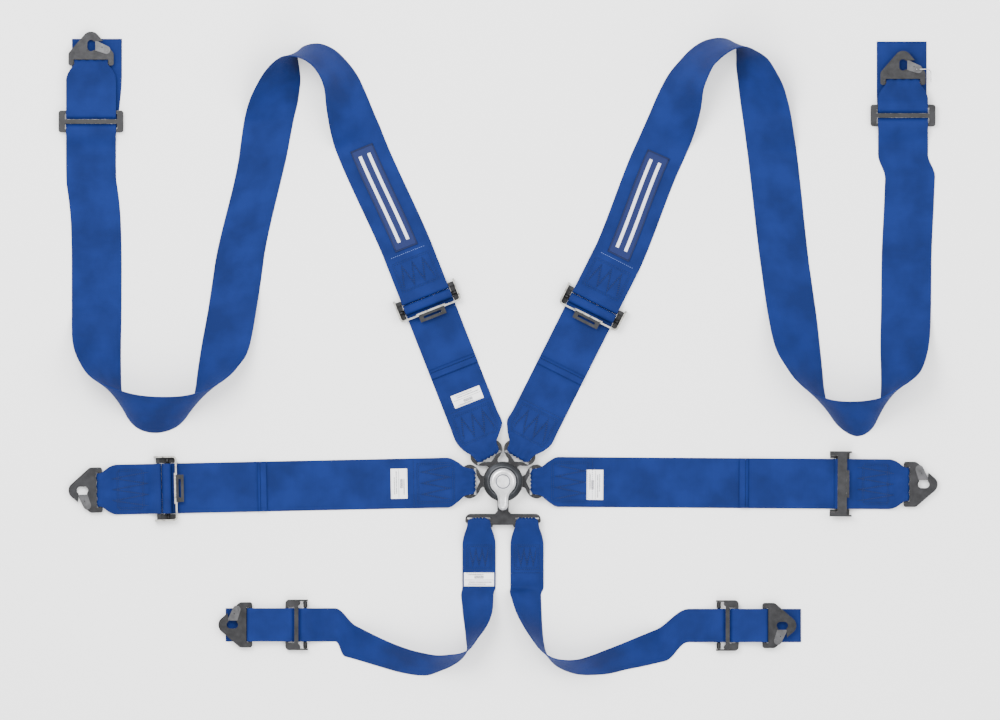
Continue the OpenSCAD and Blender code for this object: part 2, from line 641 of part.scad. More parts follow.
// Frame of a pull adjuster, with its knurled bar's axis at x = 0 and the pull tab towards -X
module adjuster_frame(w, covered) {
    half = w / 2 + frame_out;
    h = covered ? roll_top + fit + 2 : frame_h;
    color(steel_black) difference() {
        union() {
            if (!covered) translate([0, 0, rail_z]) linear_extrude(h - rail_z) front_lip(half);
            if (!covered) translate([0, 0, h - 3.4]) linear_extrude(1.8) pull_tab();
            for (m = [-1, 1]) translate([-frame_front / 2, m > 0 ? half - frame_wall : -half, 0.6])
                cube([frame_front / 2 + frame_rear + wing, frame_wall, h - 0.6]);
            for (m = [-1, 1]) translate([0, 0, 0.4]) linear_extrude(1.8)
                mirror([0, m > 0 ? 0 : 1]) polygon([[frame_rear, w / 2 + 1.2], [frame_rear, half - 1],
                    [-frame_front + 5, half - 1], [-frame_front + 1.5, half - 5],
                    [-frame_front + 1.5, w / 2 + 1.2]]);
            translate([rear_gap - rear_bar / 2, -half, layer(0) + rear_turn - rear_bar_t / 2])
                cube([rear_bar, 2 * half, rear_bar_t]);
            if (covered) {
                translate([-1, -half, roll_top + fit]) cube([frame_rear - 3, 2 * half, 2]);
                translate([frame_rear - 4.5, -tab_w / 2, roll_top + fit]) cube([4, tab_w, 3]);
                for (m = [-1, 1]) translate([-frame_front + 1, m > 0 ? half - 7 : -half, roll_top + fit - 3])
                    cube([frame_front, 7, 5]);
            }
        }
        for (y = [-half - 1, half - frame_wall - 1]) translate([0, 0, roller_z])
            roller_slot(roller_pin_r + run, roller_travel, y, frame_wall + 2);
    }
}

module adjuster_bar(w) {
    half = w / 2 + frame_out;
    color("#55565a") translate([0, 0, roller_z]) rotate([-90, 0, 0]) {
        translate([0, 0, -w / 2 - 0.8]) cylinder(r = roller_r, h = w + 1.6);
        translate([0, 0, -half + 0.4]) cylinder(r = roller_pin_r, h = 2 * half - 0.8);
    }
}

// ---------------------------------------------------------------- slides
slide_out = 11.3;
module slide_plan(w, l, out, corner) {
    half = w / 2 + out;
    hull() for (x = [-1, 1], y = [-1, 1])
        translate([x * (l / 2 - corner), y * (half - corner)]) circle(r = corner, $fn = 32);
}

module three_bar_slide(w) {
    bar = 5;
    middle = 7;
    color(steel_black) translate([0, 0, slide_z]) linear_extrude(slide_t) difference() {
        slide_plan(w, slide_l, slide_out, 4);
        for (m = [-1, 1]) translate([m > 0 ? middle / 2 : -slide_l / 2 + bar, -w / 2 - 1.5])
            square([slide_l / 2 - bar - middle / 2, w + 3]);
    }
}

// Crotch adjuster: a frame with a middle and a far bar, and a knurled bar that slides in two arms
crotch_out = 13;
arm_t = 2.5;
boss_r = 3.2;
crotch_pin_r = 1.6;
crotch_roller_s = slide_l / 2 - 3;
crotch_roller_z = slide_z + slide_t - crotch_roller_r;

module crotch_frame(w) {
    half = w / 2 + crotch_out;
    middle = 6;
    color(steel_black) difference() {
        union() {
            translate([0, 0, slide_z]) linear_extrude(slide_t) difference() {
                union() {
                    translate([-3, -half + 2]) square([6, 2 * half - 4]);
                    for (m = [-1, 1]) hull() {
                        translate([-1, m * (half - 5)]) circle(r = 5, $fn = 32);
                        translate([slide_l / 2 - 6, m * (half - 6)]) circle(r = 6, $fn = 32);
                    }
                    translate([slide_l / 2 - 5, -half + 6]) square([5, 2 * half - 12]);
                }
                translate([middle / 2, -w / 2 - 1.5]) square([slide_l / 2 - 5 - middle / 2, w + 3]);
            }
            for (m = [-1, 1])
                translate([-crotch_roller_s - 4, m > 0 ? half - arm_t : -half, crotch_roller_z - 3.2])
                    cube([crotch_roller_s + 6, arm_t, 6.4]);
        }
        for (y = [-half - 1, half - arm_t - 1]) translate([-crotch_roller_s, 0, crotch_roller_z])
            roller_slot(crotch_pin_r + run, roller_travel, y, arm_t + 2);
    }
}

module crotch_bar(w) {
    half = w / 2 + crotch_out;
    boss_in = w / 2 + 1.4;
    color("#6a6a6c") translate([-crotch_roller_s, 0, crotch_roller_z]) rotate([-90, 0, 0]) {
        translate([0, 0, -half + 0.3]) cylinder(r = crotch_pin_r, h = 2 * half - 0.6);
        translate([0, 0, -boss_in]) cylinder(r = crotch_roller_r, h = 2 * boss_in);
        for (m = [-1, 1]) translate([0, 0, m > 0 ? boss_in : -half + arm_t + fit])
            cylinder(r = boss_r, h = half - arm_t - fit - boss_in);
    }
}

// ---------------------------------------------------------------- snap hooks
eye_s = hook_l - hook_rim - eye_r;          // centre of the eye's round seat
pivot_s = eye_s - 9.5;
pivot_y = hook_w / 2 - 11;
gate_edge_y = eye_r + 0.9;                  // the gate's end stays clear of the eye's seat
gate_tip_y = gate_edge_y + 3.7;             // middle of the web between its cheeks
gate_reach = norm([pivot_s - eye_s + 2, pivot_y - gate_tip_y]);
gate_aim = atan2(gate_tip_y - pivot_y, eye_s - 2 - pivot_s);
gate_gap = 0.25;
lap_hook_z = layer(0) + hook_turn;
clip_wire_r = 0.7;
clip_z = hook_t / 2 + gate_gap + gate_t + 2.4;
gate_sides = [[1, 1], [-1, -1], [-1, -1]];   // lap, shoulder and crotch; left, right

module sector(r0, r1, a0, a1) {
    intersection() {
        difference() {
            circle(r = r1);
            circle(r = r0);
        }
        polygon([[0, 0], for (k = [0:4]) let (a = a0 + (a1 - a0) * k / 4) 2 * r1 * [cos(a), sin(a)]]);
    }
}

// Snap hook: round webbing bar across x = 0, eye and nose towards +X, gate on the +Y side
module hook_plate(pinch) {
    nose_r = eye_r + 7.5;
    slot = hook_turn + web_t / 2 + 0.6;
    half = pinch / 2 + 1;
    color(steel_dark) translate([0, -half - 1, 0]) rotate([-90, 0, 0])
        cylinder(r = hook_bar / 2, h = 2 * half + 2);
    color(steel_dark) translate([0, 0, -hook_t / 2]) linear_extrude(hook_t) difference() {
        hull() {
            for (m = [-1, 1]) {
                translate([-hook_bar / 2 + 3.5, m * (hook_w / 2 - 3.5)]) circle(r = 3.5, $fn = 32);
                translate([13, m * (hook_w / 2 - 7)]) circle(r = 7, $fn = 32);
            }
            translate([hook_l - nose_r, 0]) circle(r = nose_r, $fn = 48);
        }
        translate([-hook_bar, -half]) square([slot + hook_bar, 2 * half]);
        translate([eye_s, 0]) circle(r = eye_r);
        translate([eye_s - eye_l, 0]) circle(r = eye_r);
        translate([eye_s - eye_l, -eye_r]) square([eye_l, 2 * eye_r]);
        polygon([[eye_s - 5.2, 2], [eye_s - 4.5, pivot_y + 30], [eye_s + 9, pivot_y + 30],
            [eye_s + 3, 9], [eye_s + 3, 2]]);
        translate([pivot_s, pivot_y]) circle(r = pin_r + 0.02);
        translate([pivot_s, pivot_y])
            sector(gate_reach - 0.9, gate_reach + 3.7, gate_aim + 12, gate_aim - 31);
    }
}

// Gate: two cheeks over the plate's faces, joined by a web in the throat
module gate() {
    color("#4a4b4e") translate([pivot_s, pivot_y, 0]) {
        for (z = [hook_t / 2 + gate_gap, -hook_t / 2 - gate_gap - gate_t]) translate([0, 0, z])
            linear_extrude(gate_t) difference() {
                hull() {
                    circle(r = 6, $fn = 32);
                    translate([eye_s - eye_l - eye_r + 1 - pivot_s, gate_edge_y - pivot_y])
                        square([eye_l + 8, 3]);
                }
                circle(r = pin_r + run);
                rotate(gate_aim) translate([gate_reach / 2, 0]) circle(r = 0.9);
            }
        translate([0, 0, -hook_t / 2 - gate_gap - 0.1]) linear_extrude(hook_t + 2 * gate_gap + 0.2)
            sector(gate_reach - 0.4, gate_reach + 3, gate_aim + 9, gate_aim - 2);
    }
}

// Rivet of a gate; its shank stands up by extra, with a hole for a clip
module gate_pin(extra) {
    grip = hook_t / 2 + gate_gap + gate_t + 0.1;
    color(bright) translate([pivot_s, pivot_y, 0]) difference() {
        union() {
            translate([0, 0, -grip]) cylinder(r = pin_r, h = 2 * grip + extra);
            translate([0, 0, -grip - 0.9]) cylinder(r = pin_r + 1.2, h = 0.9);
            translate([0, 0, grip]) cylinder(r = pin_r + 1.2, h = 0.9);
        }
        if (extra > 0) translate([0, -pin_r - 1, clip_z]) rotate([-90, 0, 0])
            cylinder(r = clip_wire_r + run, h = 2 * pin_r + 2);
    }
}

module lap_hook_place(i) {
    on_lap(i, lap_inner_l + lap_outer_l) translate([0, 0, lap_hook_z])
        scale([1, gate_sides[0][i], 1]) children();
}
module shoulder_hook_place(i) {
    at_shoulder_end(i, shoulder_hook_y[i]) translate([0, 0, wrap_hook_z])
        scale([1, gate_sides[1][i], 1]) children();
}
module crotch_hook_place(i) {
    on_crotch(i, abs(crotch_hook_x[i])) translate([0, 0, wrap_hook_z])
        scale([1, gate_sides[2][i], 1]) children();
}

// Wire clip through the head of the right shoulder hook's gate pin
module wire_clip() {
    loop_r = 6;
    arm = 13;
    color(bright) shoulder_hook_place(1) translate([pivot_s, pivot_y, clip_z]) {
        translate([0, -pin_r - 1, 0]) rotate([-90, 0, 0]) cylinder(r = clip_wire_r, h = arm + pin_r + 1);
        translate([-loop_r, arm, 0]) rotate_extrude(angle = 90)
            translate([loop_r, 0]) circle(r = clip_wire_r);
        translate([-loop_r, arm + loop_r, 0]) rotate([0, -90, 0]) cylinder(r = clip_wire_r, h = arm);
    }
}

// ---------------------------------------------------------------- the assembly
back_plate();
housing();
cover();
lever();
lever_badge();
cam();
latch_springs();
return_spring();
cover_screws();
tongue_crotch();
for (i = [0, 1]) {
    side = ["left", "right"][i];
    lap = str("lap_", side);
    shoulder = str("shoulder_", side);
    crotch = str("crotch_", side);
    rotate(belt_angles[i]) fork_tongue();
    rotate(belt_angles[2 + i]) fork_tongue();
    lap_inner_webbing(i);
    lap_outer_webbing(i);
    on_lap(i, lap_inner_l) adjuster_frame(lap_w, i == 1);
    on_lap(i, lap_inner_l) adjuster_bar(lap_w);
    lap_hook_place(i) hook_plate(hook_pinch_w);
    lap_hook_place(i) gate();
    lap_hook_place(i) gate_pin(0);
    shoulder_inner_webbing(i);
    shoulder_outer_webbing(i);
    on_shoulder(i, shoulder_inner_l) adjuster_frame(shoulder_w, false);
    on_shoulder(i, shoulder_inner_l) adjuster_bar(shoulder_w);
    at_shoulder_end(i, shoulder_slide_y[i]) three_bar_slide(shoulder_w);
    shoulder_patch(i);
    shoulder_hook_place(i) hook_plate(hook_pinch_w);
    shoulder_hook_place(i) gate();
    shoulder_hook_place(i) gate_pin(i == 1 ? 3.4 : 0);
    crotch_webbing(i);
    on_crotch(i, abs(crotch_slide_x[i])) crotch_frame(crotch_w);
    on_crotch(i, abs(crotch_slide_x[i])) crotch_bar(crotch_w);
    crotch_hook_place(i) hook_plate(min(crotch_w, hook_pinch_w));
    crotch_hook_place(i) gate();
    crotch_hook_place(i) gate_pin(0);
}
wire_clip();  // shoulder_right_clip
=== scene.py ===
"""A six-point racing harness laid out flat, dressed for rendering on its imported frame.

The metal fittings keep the shapes of the frame's own pieces, with their edges broken and
worn. Webbing, thread, labels and patches are new surfaces that follow each strap's route.
Sizes are in millimetres and become metres where a mesh is made.
"""
from __future__ import annotations

import json
import logging
import math
from collections.abc import Callable
from dataclasses import dataclass, field
from enum import Enum

import bmesh
import bpy
import numpy as np
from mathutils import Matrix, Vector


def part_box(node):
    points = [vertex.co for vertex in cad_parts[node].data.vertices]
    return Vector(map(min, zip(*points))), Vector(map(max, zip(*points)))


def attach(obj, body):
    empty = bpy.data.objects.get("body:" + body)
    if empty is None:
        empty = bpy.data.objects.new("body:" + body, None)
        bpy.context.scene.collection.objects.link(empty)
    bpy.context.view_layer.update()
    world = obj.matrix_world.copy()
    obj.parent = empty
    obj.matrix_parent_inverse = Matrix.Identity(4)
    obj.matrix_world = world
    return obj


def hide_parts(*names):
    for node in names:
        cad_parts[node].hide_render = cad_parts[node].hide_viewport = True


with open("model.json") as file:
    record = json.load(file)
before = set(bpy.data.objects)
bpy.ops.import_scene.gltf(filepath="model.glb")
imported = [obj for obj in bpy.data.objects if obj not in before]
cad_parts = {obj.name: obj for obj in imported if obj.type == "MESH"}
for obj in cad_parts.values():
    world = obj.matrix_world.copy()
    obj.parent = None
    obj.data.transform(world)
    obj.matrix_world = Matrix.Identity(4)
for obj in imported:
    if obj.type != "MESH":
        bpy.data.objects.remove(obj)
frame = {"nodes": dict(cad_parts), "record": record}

MM = 0.001
LOG = logging.getLogger("harness")

Row = tuple[float, ...]
Point = tuple[float, float]
Colour = tuple[float, float, float]
HEM_ROWS = (10, 8)         # rows of stitches, from where a pull end's hem starts
OUTWARDS = (180, 0)        # headings away from the middle, left and right
SAME_POINT = 2e-6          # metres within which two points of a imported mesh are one
FLAT_DEGREES = 1.2         # faces that turn less than this are joined
BEVEL_PROFILE = 0.6        # a bevel slightly fuller than an arc


class Side(Enum):
    """The two sides of the harness, as the camera sees them."""

    LEFT = 0
    RIGHT = 1

    @property
    def word(self) -> str:
        """The side's word in piece names."""
        return self.name.lower()

    @property
    def flip(self) -> int:
        """-1 on the left and 1 on the right."""
        return -1 if self is Side.LEFT else 1


# ------------------------------------------------------------------------- small helpers
def unit(vectors: np.ndarray) -> np.ndarray:
    """Vectors divided by their lengths, along the last axis."""
    return vectors / np.maximum(np.linalg.norm(vectors, axis=-1, keepdims=True), 1e-12)


def body_of(node: str) -> str:
    """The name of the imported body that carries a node."""
    bodies = frame["record"]["behaviour"]["bodies"]
    return next(body for body, nodes in bodies.items() if node in nodes)


def catmull_rom(rows: np.ndarray, parts: int = 3) -> np.ndarray:
    """Adds smooth rows between given ones with the uniform Catmull-Rom cubic.

    Between b and c, with neighbours a and d: b + (c - a) t / 2 + (2a - 5b + 4c - d) t^2 / 2
    + (3b - a - 3c + d) t^3 / 2.

    Args:
        rows: (n, k) values to pass through.
        parts: how many pieces each stretch is cut into.

    Returns:
        ((n - 1) * parts + 1, k) values.
    """
    last = len(rows) - 1
    start = np.repeat(np.arange(last), parts)
    t = np.tile(np.arange(parts) / parts, last)[:, None]
    a, b = rows[np.maximum(start - 1, 0)], rows[start]
    c, d = rows[start + 1], rows[np.minimum(start + 2, last)]
    cubic = (3 * b - a - 3 * c + d) * t ** 3 / 2
    made = b + (c - a) * t / 2 + (2 * a - 5 * b + 4 * c - d) * t ** 2 / 2 + cubic
    return np.vstack([made, rows[-1:]])


def monotone_cubic(at: np.ndarray, values: np.ndarray, wanted: np.ndarray) -> np.ndarray:
    """Interpolates without overshoot, so that layers lying on each other never cross.

    A cubic Hermite curve whose slope at each point is the harmonic mean of the two slopes
    beside it, or zero where they differ in sign.

    Args:
        at: (n,) rising positions.
        values: (n, k) values there.
        wanted: (m,) positions to work out.

    Returns:
        (m, k) values.
    """
    gap = np.diff(at)[:, None]
    slope = np.diff(values, axis=0) / gap
    before, after = slope[:-1], slope[1:]
    same = before * after > 0
    middle = np.where(same, 2 * before * after / np.where(same, before + after, 1), 0)
    tangent = np.vstack([slope[:1], middle, slope[-1:]])
    i = np.clip(np.searchsorted(at, wanted, side="right") - 1, 0, len(gap) - 1)
    h = gap[i]
    t = (wanted[:, None] - at[i][:, None]) / h
    return ((1 + 2 * t) * (1 - t) ** 2 * values[i] + t * (1 - t) ** 2 * h * tangent[i]
            + t * t * (3 - 2 * t) * values[i + 1] + t * t * (t - 1) * h * tangent[i + 1])


# ------------------------------------------------------------------------------ finishes
class Shading:
    """One material's node tree, with short ways to add and join nodes."""

    def __init__(self, name: str) -> None:
        """Starts a material with a Principled shader and nothing else."""
        self.material = bpy.data.materials.new(name)
        self.material.use_nodes = True
        self.nodes = self.material.node_tree.nodes
        self.links = self.material.node_tree.links
        self.nodes.clear()
        output = self.nodes.new("ShaderNodeOutputMaterial")
        self.shader = self.nodes.new("ShaderNodeBsdfPrincipled")
        self.links.new(self.shader.outputs["BSDF"], output.inputs["Surface"])

    def feed(self, socket: bpy.types.NodeSocket, value: object) -> None:
        """Joins a socket to another node's output, or sets it to a constant."""
        if isinstance(value, bpy.types.NodeSocket):
            self.links.new(value, socket)
        else:
            socket.default_value = value

    def set(self, **values: object) -> None:
        """Feeds the shader's sockets; underscores in the names stand for spaces."""
        for name, value in values.items():
            self.feed(self.shader.inputs[name.replace("_", " ")], value)

    def place(self, uv: bool = False) -> bpy.types.NodeSocket:
        """Coordinates in metres: the piece's weave map, or its own object coordinates."""
        if uv:
            node = self.nodes.new("ShaderNodeUVMap")
            node.uv_map = "weave"
            return node.outputs["UV"]
        return self.nodes.new("ShaderNodeTexCoord").outputs["Object"]

    def parts(self, vector: bpy.types.NodeSocket) -> bpy.types.NodeOutputs:
        """A vector's X, Y and Z."""
        node = self.nodes.new("ShaderNodeSeparateXYZ")
        self.links.new(vector, node.inputs[0])
        return node.outputs

    def sum_of(self, operation: str, *values: object) -> bpy.types.NodeSocket:
        """A Math node's result."""
        node = self.nodes.new("ShaderNodeMath")
        node.operation = operation
        for socket, value in zip(node.inputs, values):
            self.feed(socket, value)
        return node.outputs[0]

    def noise(self, vector: bpy.types.NodeSocket, size_mm: float, detail: float = 2,
              rough: float = 0.5) -> bpy.types.NodeSocket:
        """Noise from 0 to 1 whose blots are about size_mm across."""
        node = self.nodes.new("ShaderNodeTexNoise")
        self.links.new(vector, node.inputs["Vector"])
        node.inputs["Scale"].default_value = 1 / (size_mm * MM)
        node.inputs["Detail"].default_value = detail
        node.inputs["Roughness"].default_value = rough
        return node.outputs[0]

    def band(self, value: object, low: float, high: float, new_low: float = 0,
             new_high: float = 1) -> bpy.types.NodeSocket:
        """Maps low..high onto new_low..new_high, held at both ends."""
        node = self.nodes.new("ShaderNodeMapRange")
        numbers = (value, low, high, new_low, new_high)
        for socket, number in zip(node.inputs, numbers):
            self.feed(socket, number)
        return node.outputs[0]

    def mix(self, factor: object, a: object, b: object) -> bpy.types.NodeSocket:
        """A blend of two colours."""
        node = self.nodes.new("ShaderNodeMix")
        node.data_type = "RGBA"
        for index, value in ((0, factor), (6, a), (7, b)):
            if isinstance(value, tuple):
                value = (*value, 1.0)
            self.feed(node.inputs[index], value)
        return node.outputs[2]

    def bump(self, height: bpy.types.NodeSocket, deep_mm: float) -> bpy.types.NodeSocket:
        """A normal raised by height times deep_mm."""
        node = self.nodes.new("ShaderNodeBump")
        node.inputs["Distance"].default_value = deep_mm * MM
        node.inputs["Strength"].default_value = 1.0
        self.links.new(height, node.inputs["Height"])
        return node.outputs[0]


@dataclass(frozen=True)
class WovenWebbing:
    """Polyester webbing: fine warp ribs along the strap, each a chain of short floats."""

    name: str = "blue_webbing"
    # deep and bright are the ends of the blue: the gaps lean to deep as painted shade and the yarn
    # crests to bright as painted sheen; noise adds random variation.
    bright: Colour = (0.0052, 0.0175, 0.112)
    deep: Colour = (0.003, 0.0078, 0.046)
    rib_mm: float = 1.25
    pick_mm: float = 2.2

    def wave(self, shade: Shading, cycles: bpy.types.NodeSocket) -> bpy.types.NodeSocket:
        """A sine wave from 0 to 1 of a count of cycles."""
        turned = shade.sum_of("MULTIPLY", cycles, 2 * math.pi)
        return shade.sum_of("MULTIPLY_ADD", shade.sum_of("SINE", turned), 0.5, 0.5)

    def build(self) -> bpy.types.Material:
        """Makes the material: yarn waves drive both the bump and the colour, which is painted
        shade in the gaps between yarns and painted sheen on their crests.

        Half of the floats are set off by a quarter cycle with a wave twice as wide as a
        rib, so that neighbouring ribs step past each other as in a twill.
        """
        shade = Shading(self.name)
        weave = shade.place(uv=True)
        u, v = shade.parts(weave)[:2]
        ribs = self.wave(shade, shade.sum_of("DIVIDE", u, self.rib_mm * MM))
        aside = self.wave(shade, shade.sum_of("DIVIDE", u, self.rib_mm * MM * 2))
        picks = shade.sum_of("DIVIDE", v, self.pick_mm * MM)
        floats = self.wave(shade, shade.sum_of("MULTIPLY_ADD", aside, 0.5, picks))
        yarn = shade.sum_of("MULTIPLY_ADD", floats, 0.35, shade.sum_of("MULTIPLY", ribs, 0.65))
        blots = shade.noise(weave, 48, 3)
        fuzz = shade.noise(weave, 1.1, 3, 0.7)
        shadow = shade.band(blots, 0.34, 0.66, 0, 0.5)
        # Painted shade and sheen: the yarn wave darkens the gaps and lightens the crests; fuzz and
        # blots add random variation.
        painted_shade_sheen_and_tone = shade.sum_of("ADD", shade.sum_of("MULTIPLY", yarn, 0.42),
                            shade.sum_of("MULTIPLY_ADD", fuzz, 0.3, shadow))
        colour = shade.mix(painted_shade_sheen_and_tone, self.deep, self.bright)
        height = shade.sum_of("MULTIPLY_ADD", fuzz, 0.6, yarn)
        shade.set(Base_Color=colour, Roughness=shade.band(fuzz, 0.2, 0.8, 0.6, 0.85),
                  Sheen_Weight=0.02, Sheen_Roughness=0.4, Sheen_Tint=(0.3, 0.45, 1, 1),
                  Specular_IOR_Level=0.1, Normal=shade.bump(height, 0.18))
        return shade.material


@dataclass(frozen=True)
class SewingThread:
    """Bonded nylon thread: two plies twisted round each other."""

    name: str = "navy_thread"
    colour: Colour = (0.0028, 0.0085, 0.046)
    rough: float = 0.6

    def build(self) -> bpy.types.Material:
        """Makes the material with a fine mottle for the plies."""
        shade = Shading(self.name)
        ply = shade.noise(shade.place(), 0.6, 2, 0.6)
        pale = tuple(min(1.0, c * 2 + 0.002) for c in self.colour)
        shade.set(Base_Color=shade.mix(shade.band(ply, 0.35, 0.7), self.colour, pale),
                  Roughness=self.rough, Specular_IOR_Level=0.2, Normal=shade.bump(ply, 0.08))
        return shade.material


@dataclass(frozen=True)
class PrintedLabel:
    """White satin label cloth printed with plain grey rules, with no words on it."""

    name: str = "white_label"
    rules: tuple[Row, ...] = (
        (-7.4, 0.7, 12, 5), (-3.6, 1.7, 7, 0), (0.6, 0.35, 21, 0), (4.0, 0.6, 17, -2),
        (7.0, 0.6, 13, 3))

    def build(self) -> bpy.types.Material:
        """Makes the material; each rule is a band of the label's own length and width.

        A rule is its place across the label, half its width, half its length and its shift.
        """
        shade = Shading(self.name)
        weave = shade.place(uv=True)
        u, v = shade.parts(weave)[:2]
        ink: bpy.types.NodeSocket | float = 0.0
        for middle, half, reach, shift in self.rules:
            off = shade.sum_of("ABSOLUTE", shade.sum_of("SUBTRACT", u, middle * MM))
            across = shade.band(off, half * MM, half * MM * 1.5, 1, 0)
            out = shade.sum_of("ABSOLUTE", shade.sum_of("SUBTRACT", v, shift * MM))
            along = shade.band(out, reach * MM, reach * MM * 1.04, 1, 0)
            ink = shade.sum_of("MAXIMUM", ink, shade.sum_of("MULTIPLY", across, along))
        worn = shade.band(shade.noise(weave, 1.6, 2, 0.8), 0.38, 0.55, 0.25, 1)
        cloth = shade.noise(weave, 0.7, 2, 0.6)
        print_on = shade.sum_of("MULTIPLY", ink, worn)
        shade.set(Base_Color=shade.mix(print_on, (0.83, 0.83, 0.85), (0.16, 0.16, 0.18)),
                  Roughness=0.55, Sheen_Weight=0.15, Normal=shade.bump(cloth, 0.06))
        return shade.material


@dataclass(frozen=True)
class PatchCloth:
    """Embroidered patch cloth: satin stitch in close rows."""

    name: str
    colour: Colour
    row_mm: float = 1.1

    def build(self) -> bpy.types.Material:
        """Makes the material; rows of satin stitch run across the patch, with painted shade
        darkening the grooves between them.
        """
        shade = Shading(self.name)
        weave = shade.place(uv=True)
        v = shade.parts(weave)[1]
        turned = shade.sum_of("MULTIPLY", v, 2 * math.pi / (self.row_mm * MM))
        rows = shade.sum_of("MULTIPLY_ADD", shade.sum_of("SINE", turned), 0.5, 0.5)
        fuzz = shade.noise(weave, 0.9, 3, 0.7)
        height = shade.sum_of("MULTIPLY_ADD", fuzz, 0.6, rows)
        # dark is painted shade for the grooves between rows; fuzz adds random variation.
        dark = tuple(c * 0.62 for c in self.colour)
        shade.set(Base_Color=shade.mix(height, dark, self.colour), Roughness=0.6,
                  Specular_IOR_Level=0.2, Normal=shade.bump(height, 0.12))
        return shade.material


@dataclass(frozen=True)
class CoatedSteel:
    """Black coated steel: slight orange peel, dust, and a sheen that varies."""

    name: str = "black_steel"
    colour: Colour = (0.008, 0.008, 0.009)
    metal: float = 0.0
    rough: float = 0.46

    def build(self) -> bpy.types.Material:
        """Makes the material."""
        shade = Shading(self.name)
        place = shade.place()
        peel = shade.noise(place, 1.2, 3, 0.6)
        smear = shade.noise(place, 14, 3, 0.6)
        pale = tuple(c * 2.4 + 0.004 for c in self.colour)
        shade.set(Base_Color=shade.mix(shade.band(smear, 0.35, 0.75), self.colour, pale),
                  Metallic=self.metal, Specular_IOR_Level=0.25,
                  Roughness=shade.band(smear, 0.3, 0.7, self.rough - 0.08, self.rough + 0.12),
                  Normal=shade.bump(peel, 0.03))
        return shade.material


@dataclass(frozen=True)
class WornSteel:
    """Steel that shows through along edges where the coating has worn away; on the adjusters' lips
    the same finish is a painted highlight.
    """

    name: str
    # The pale steel colour: wear on edges, and a painted highlight in the lip finish.
    bare: Colour = (0.3, 0.285, 0.26)
    coat: Colour = (0.03, 0.03, 0.031)
    share: tuple[float, float] = (0.48, 0.64)

    def build(self) -> bpy.types.Material:
        """Makes the material; noise decides where the pale steel shows: wear on edges, and a
        painted highlight on the lips.
        """
        shade = Shading(self.name)
        place = shade.place()
        wear_and_highlight_mask = shade.band(shade.noise(place, 5, 4, 0.7), *self.share)
        fine = shade.noise(place, 0.8, 2, 0.6)
        shade.set(Base_Color=shade.mix(wear_and_highlight_mask, self.coat, self.bare), Metallic=0.9,
                  Roughness=shade.band(fine, 0.2, 0.8, 0.24, 0.42))
        return shade.material


@dataclass(frozen=True)
class BrushedMetal:
    """Bare or anodised metal with a fine brushed grain in one direction."""

    name: str
    colour: Colour
    rough: float = 0.3
    grain: tuple[float, float, float] = (1, 9, 1)
    deep_mm: float = 0.015

    def build(self) -> bpy.types.Material:
        """Makes the material; noise drawn out along one axis gives the grain."""
        shade = Shading(self.name)
        place = shade.place()
        stretch = shade.nodes.new("ShaderNodeMapping")
        stretch.inputs["Scale"].default_value = self.grain
        shade.links.new(place, stretch.inputs["Vector"])
        lines = shade.noise(stretch.outputs[0], 2.2, 4, 0.7)
        stain = shade.noise(place, 11, 3, 0.6)
        dark = tuple(c * 0.62 for c in self.colour)
        shade.set(Base_Color=shade.mix(shade.band(stain, 0.3, 0.72), dark, self.colour),
                  Metallic=1.0,
                  Roughness=shade.band(lines, 0.3, 0.7, self.rough - 0.07, self.rough + 0.1),
                  Normal=shade.bump(lines, self.deep_mm))
        return shade.material


@dataclass(frozen=True)
class StudioPaper:
    """Pale backdrop paper."""

    name: str = "pale_paper"
    colour: Colour = (0.95, 0.95, 0.95)

    def build(self) -> bpy.types.Material:
        """Makes the material."""
        shade = Shading(self.name)
        fibre = shade.noise(shade.place(), 3, 2)
        pale = tuple(min(1.0, c * 1.02) for c in self.colour)
        shade.set(Base_Color=shade.mix(fibre, self.colour, pale), Roughness=0.9,
                  Specular_IOR_Level=0.1)
        return shade.material


class Finishes:
    """Every material of the harness, made once."""

    def __init__(self) -> None:
        """Makes the materials."""
        even = (1, 1, 1)
        self.webbing = WovenWebbing().build()
        self.thread = SewingThread().build()
        self.pale_thread = SewingThread("pale_thread", (0.1, 0.16, 0.38)).build()
        self.label = PrintedLabel().build()
        self.patch = PatchCloth("navy_patch", (0.004, 0.012, 0.075)).build()
        self.stripe = PatchCloth("white_stripe", (0.72, 0.74, 0.82)).build()
        self.border = PatchCloth("patch_border", (0.003, 0.008, 0.045)).build()
        self.black = CoatedSteel().build()
        self.black_edge = WornSteel("worn_black_edge").build()
        # Pale steel patches as a painted highlight on the adjusters' lips.
        self.rubbed = WornSteel("rubbed_steel", (0.42, 0.41, 0.38), share=(0.3, 0.5)).build()
        self.grey = BrushedMetal("grey_steel", (0.038, 0.038, 0.04), 0.46, even, 0.03).build()
        self.grey_edge = WornSteel("worn_grey_edge", (0.2, 0.2, 0.2), (0.06, 0.06, 0.064)).build()
        self.gate = BrushedMetal("gate_steel", (0.1, 0.1, 0.104), 0.4).build()
        self.lever = BrushedMetal("satin_alloy", (0.8, 0.8, 0.82), 0.3).build()
        self.bright = BrushedMetal("bright_steel", (0.66, 0.66, 0.67), 0.22).build()
        self.cover = BrushedMetal("dark_cover", (0.036, 0.038, 0.042), 0.4, even, 0.02).build()
        self.cover_edge = BrushedMetal("cover_edge", (0.09, 0.093, 0.1), 0.35, even, 0.01).build()
        self.badge = BrushedMetal("badge_face", (0.86, 0.86, 0.88), 0.36).build()
        self.dark_ring = CoatedSteel("dark_enamel", (0.03, 0.03, 0.05), 0.2, 0.4).build()
        self.paper = StudioPaper().build()


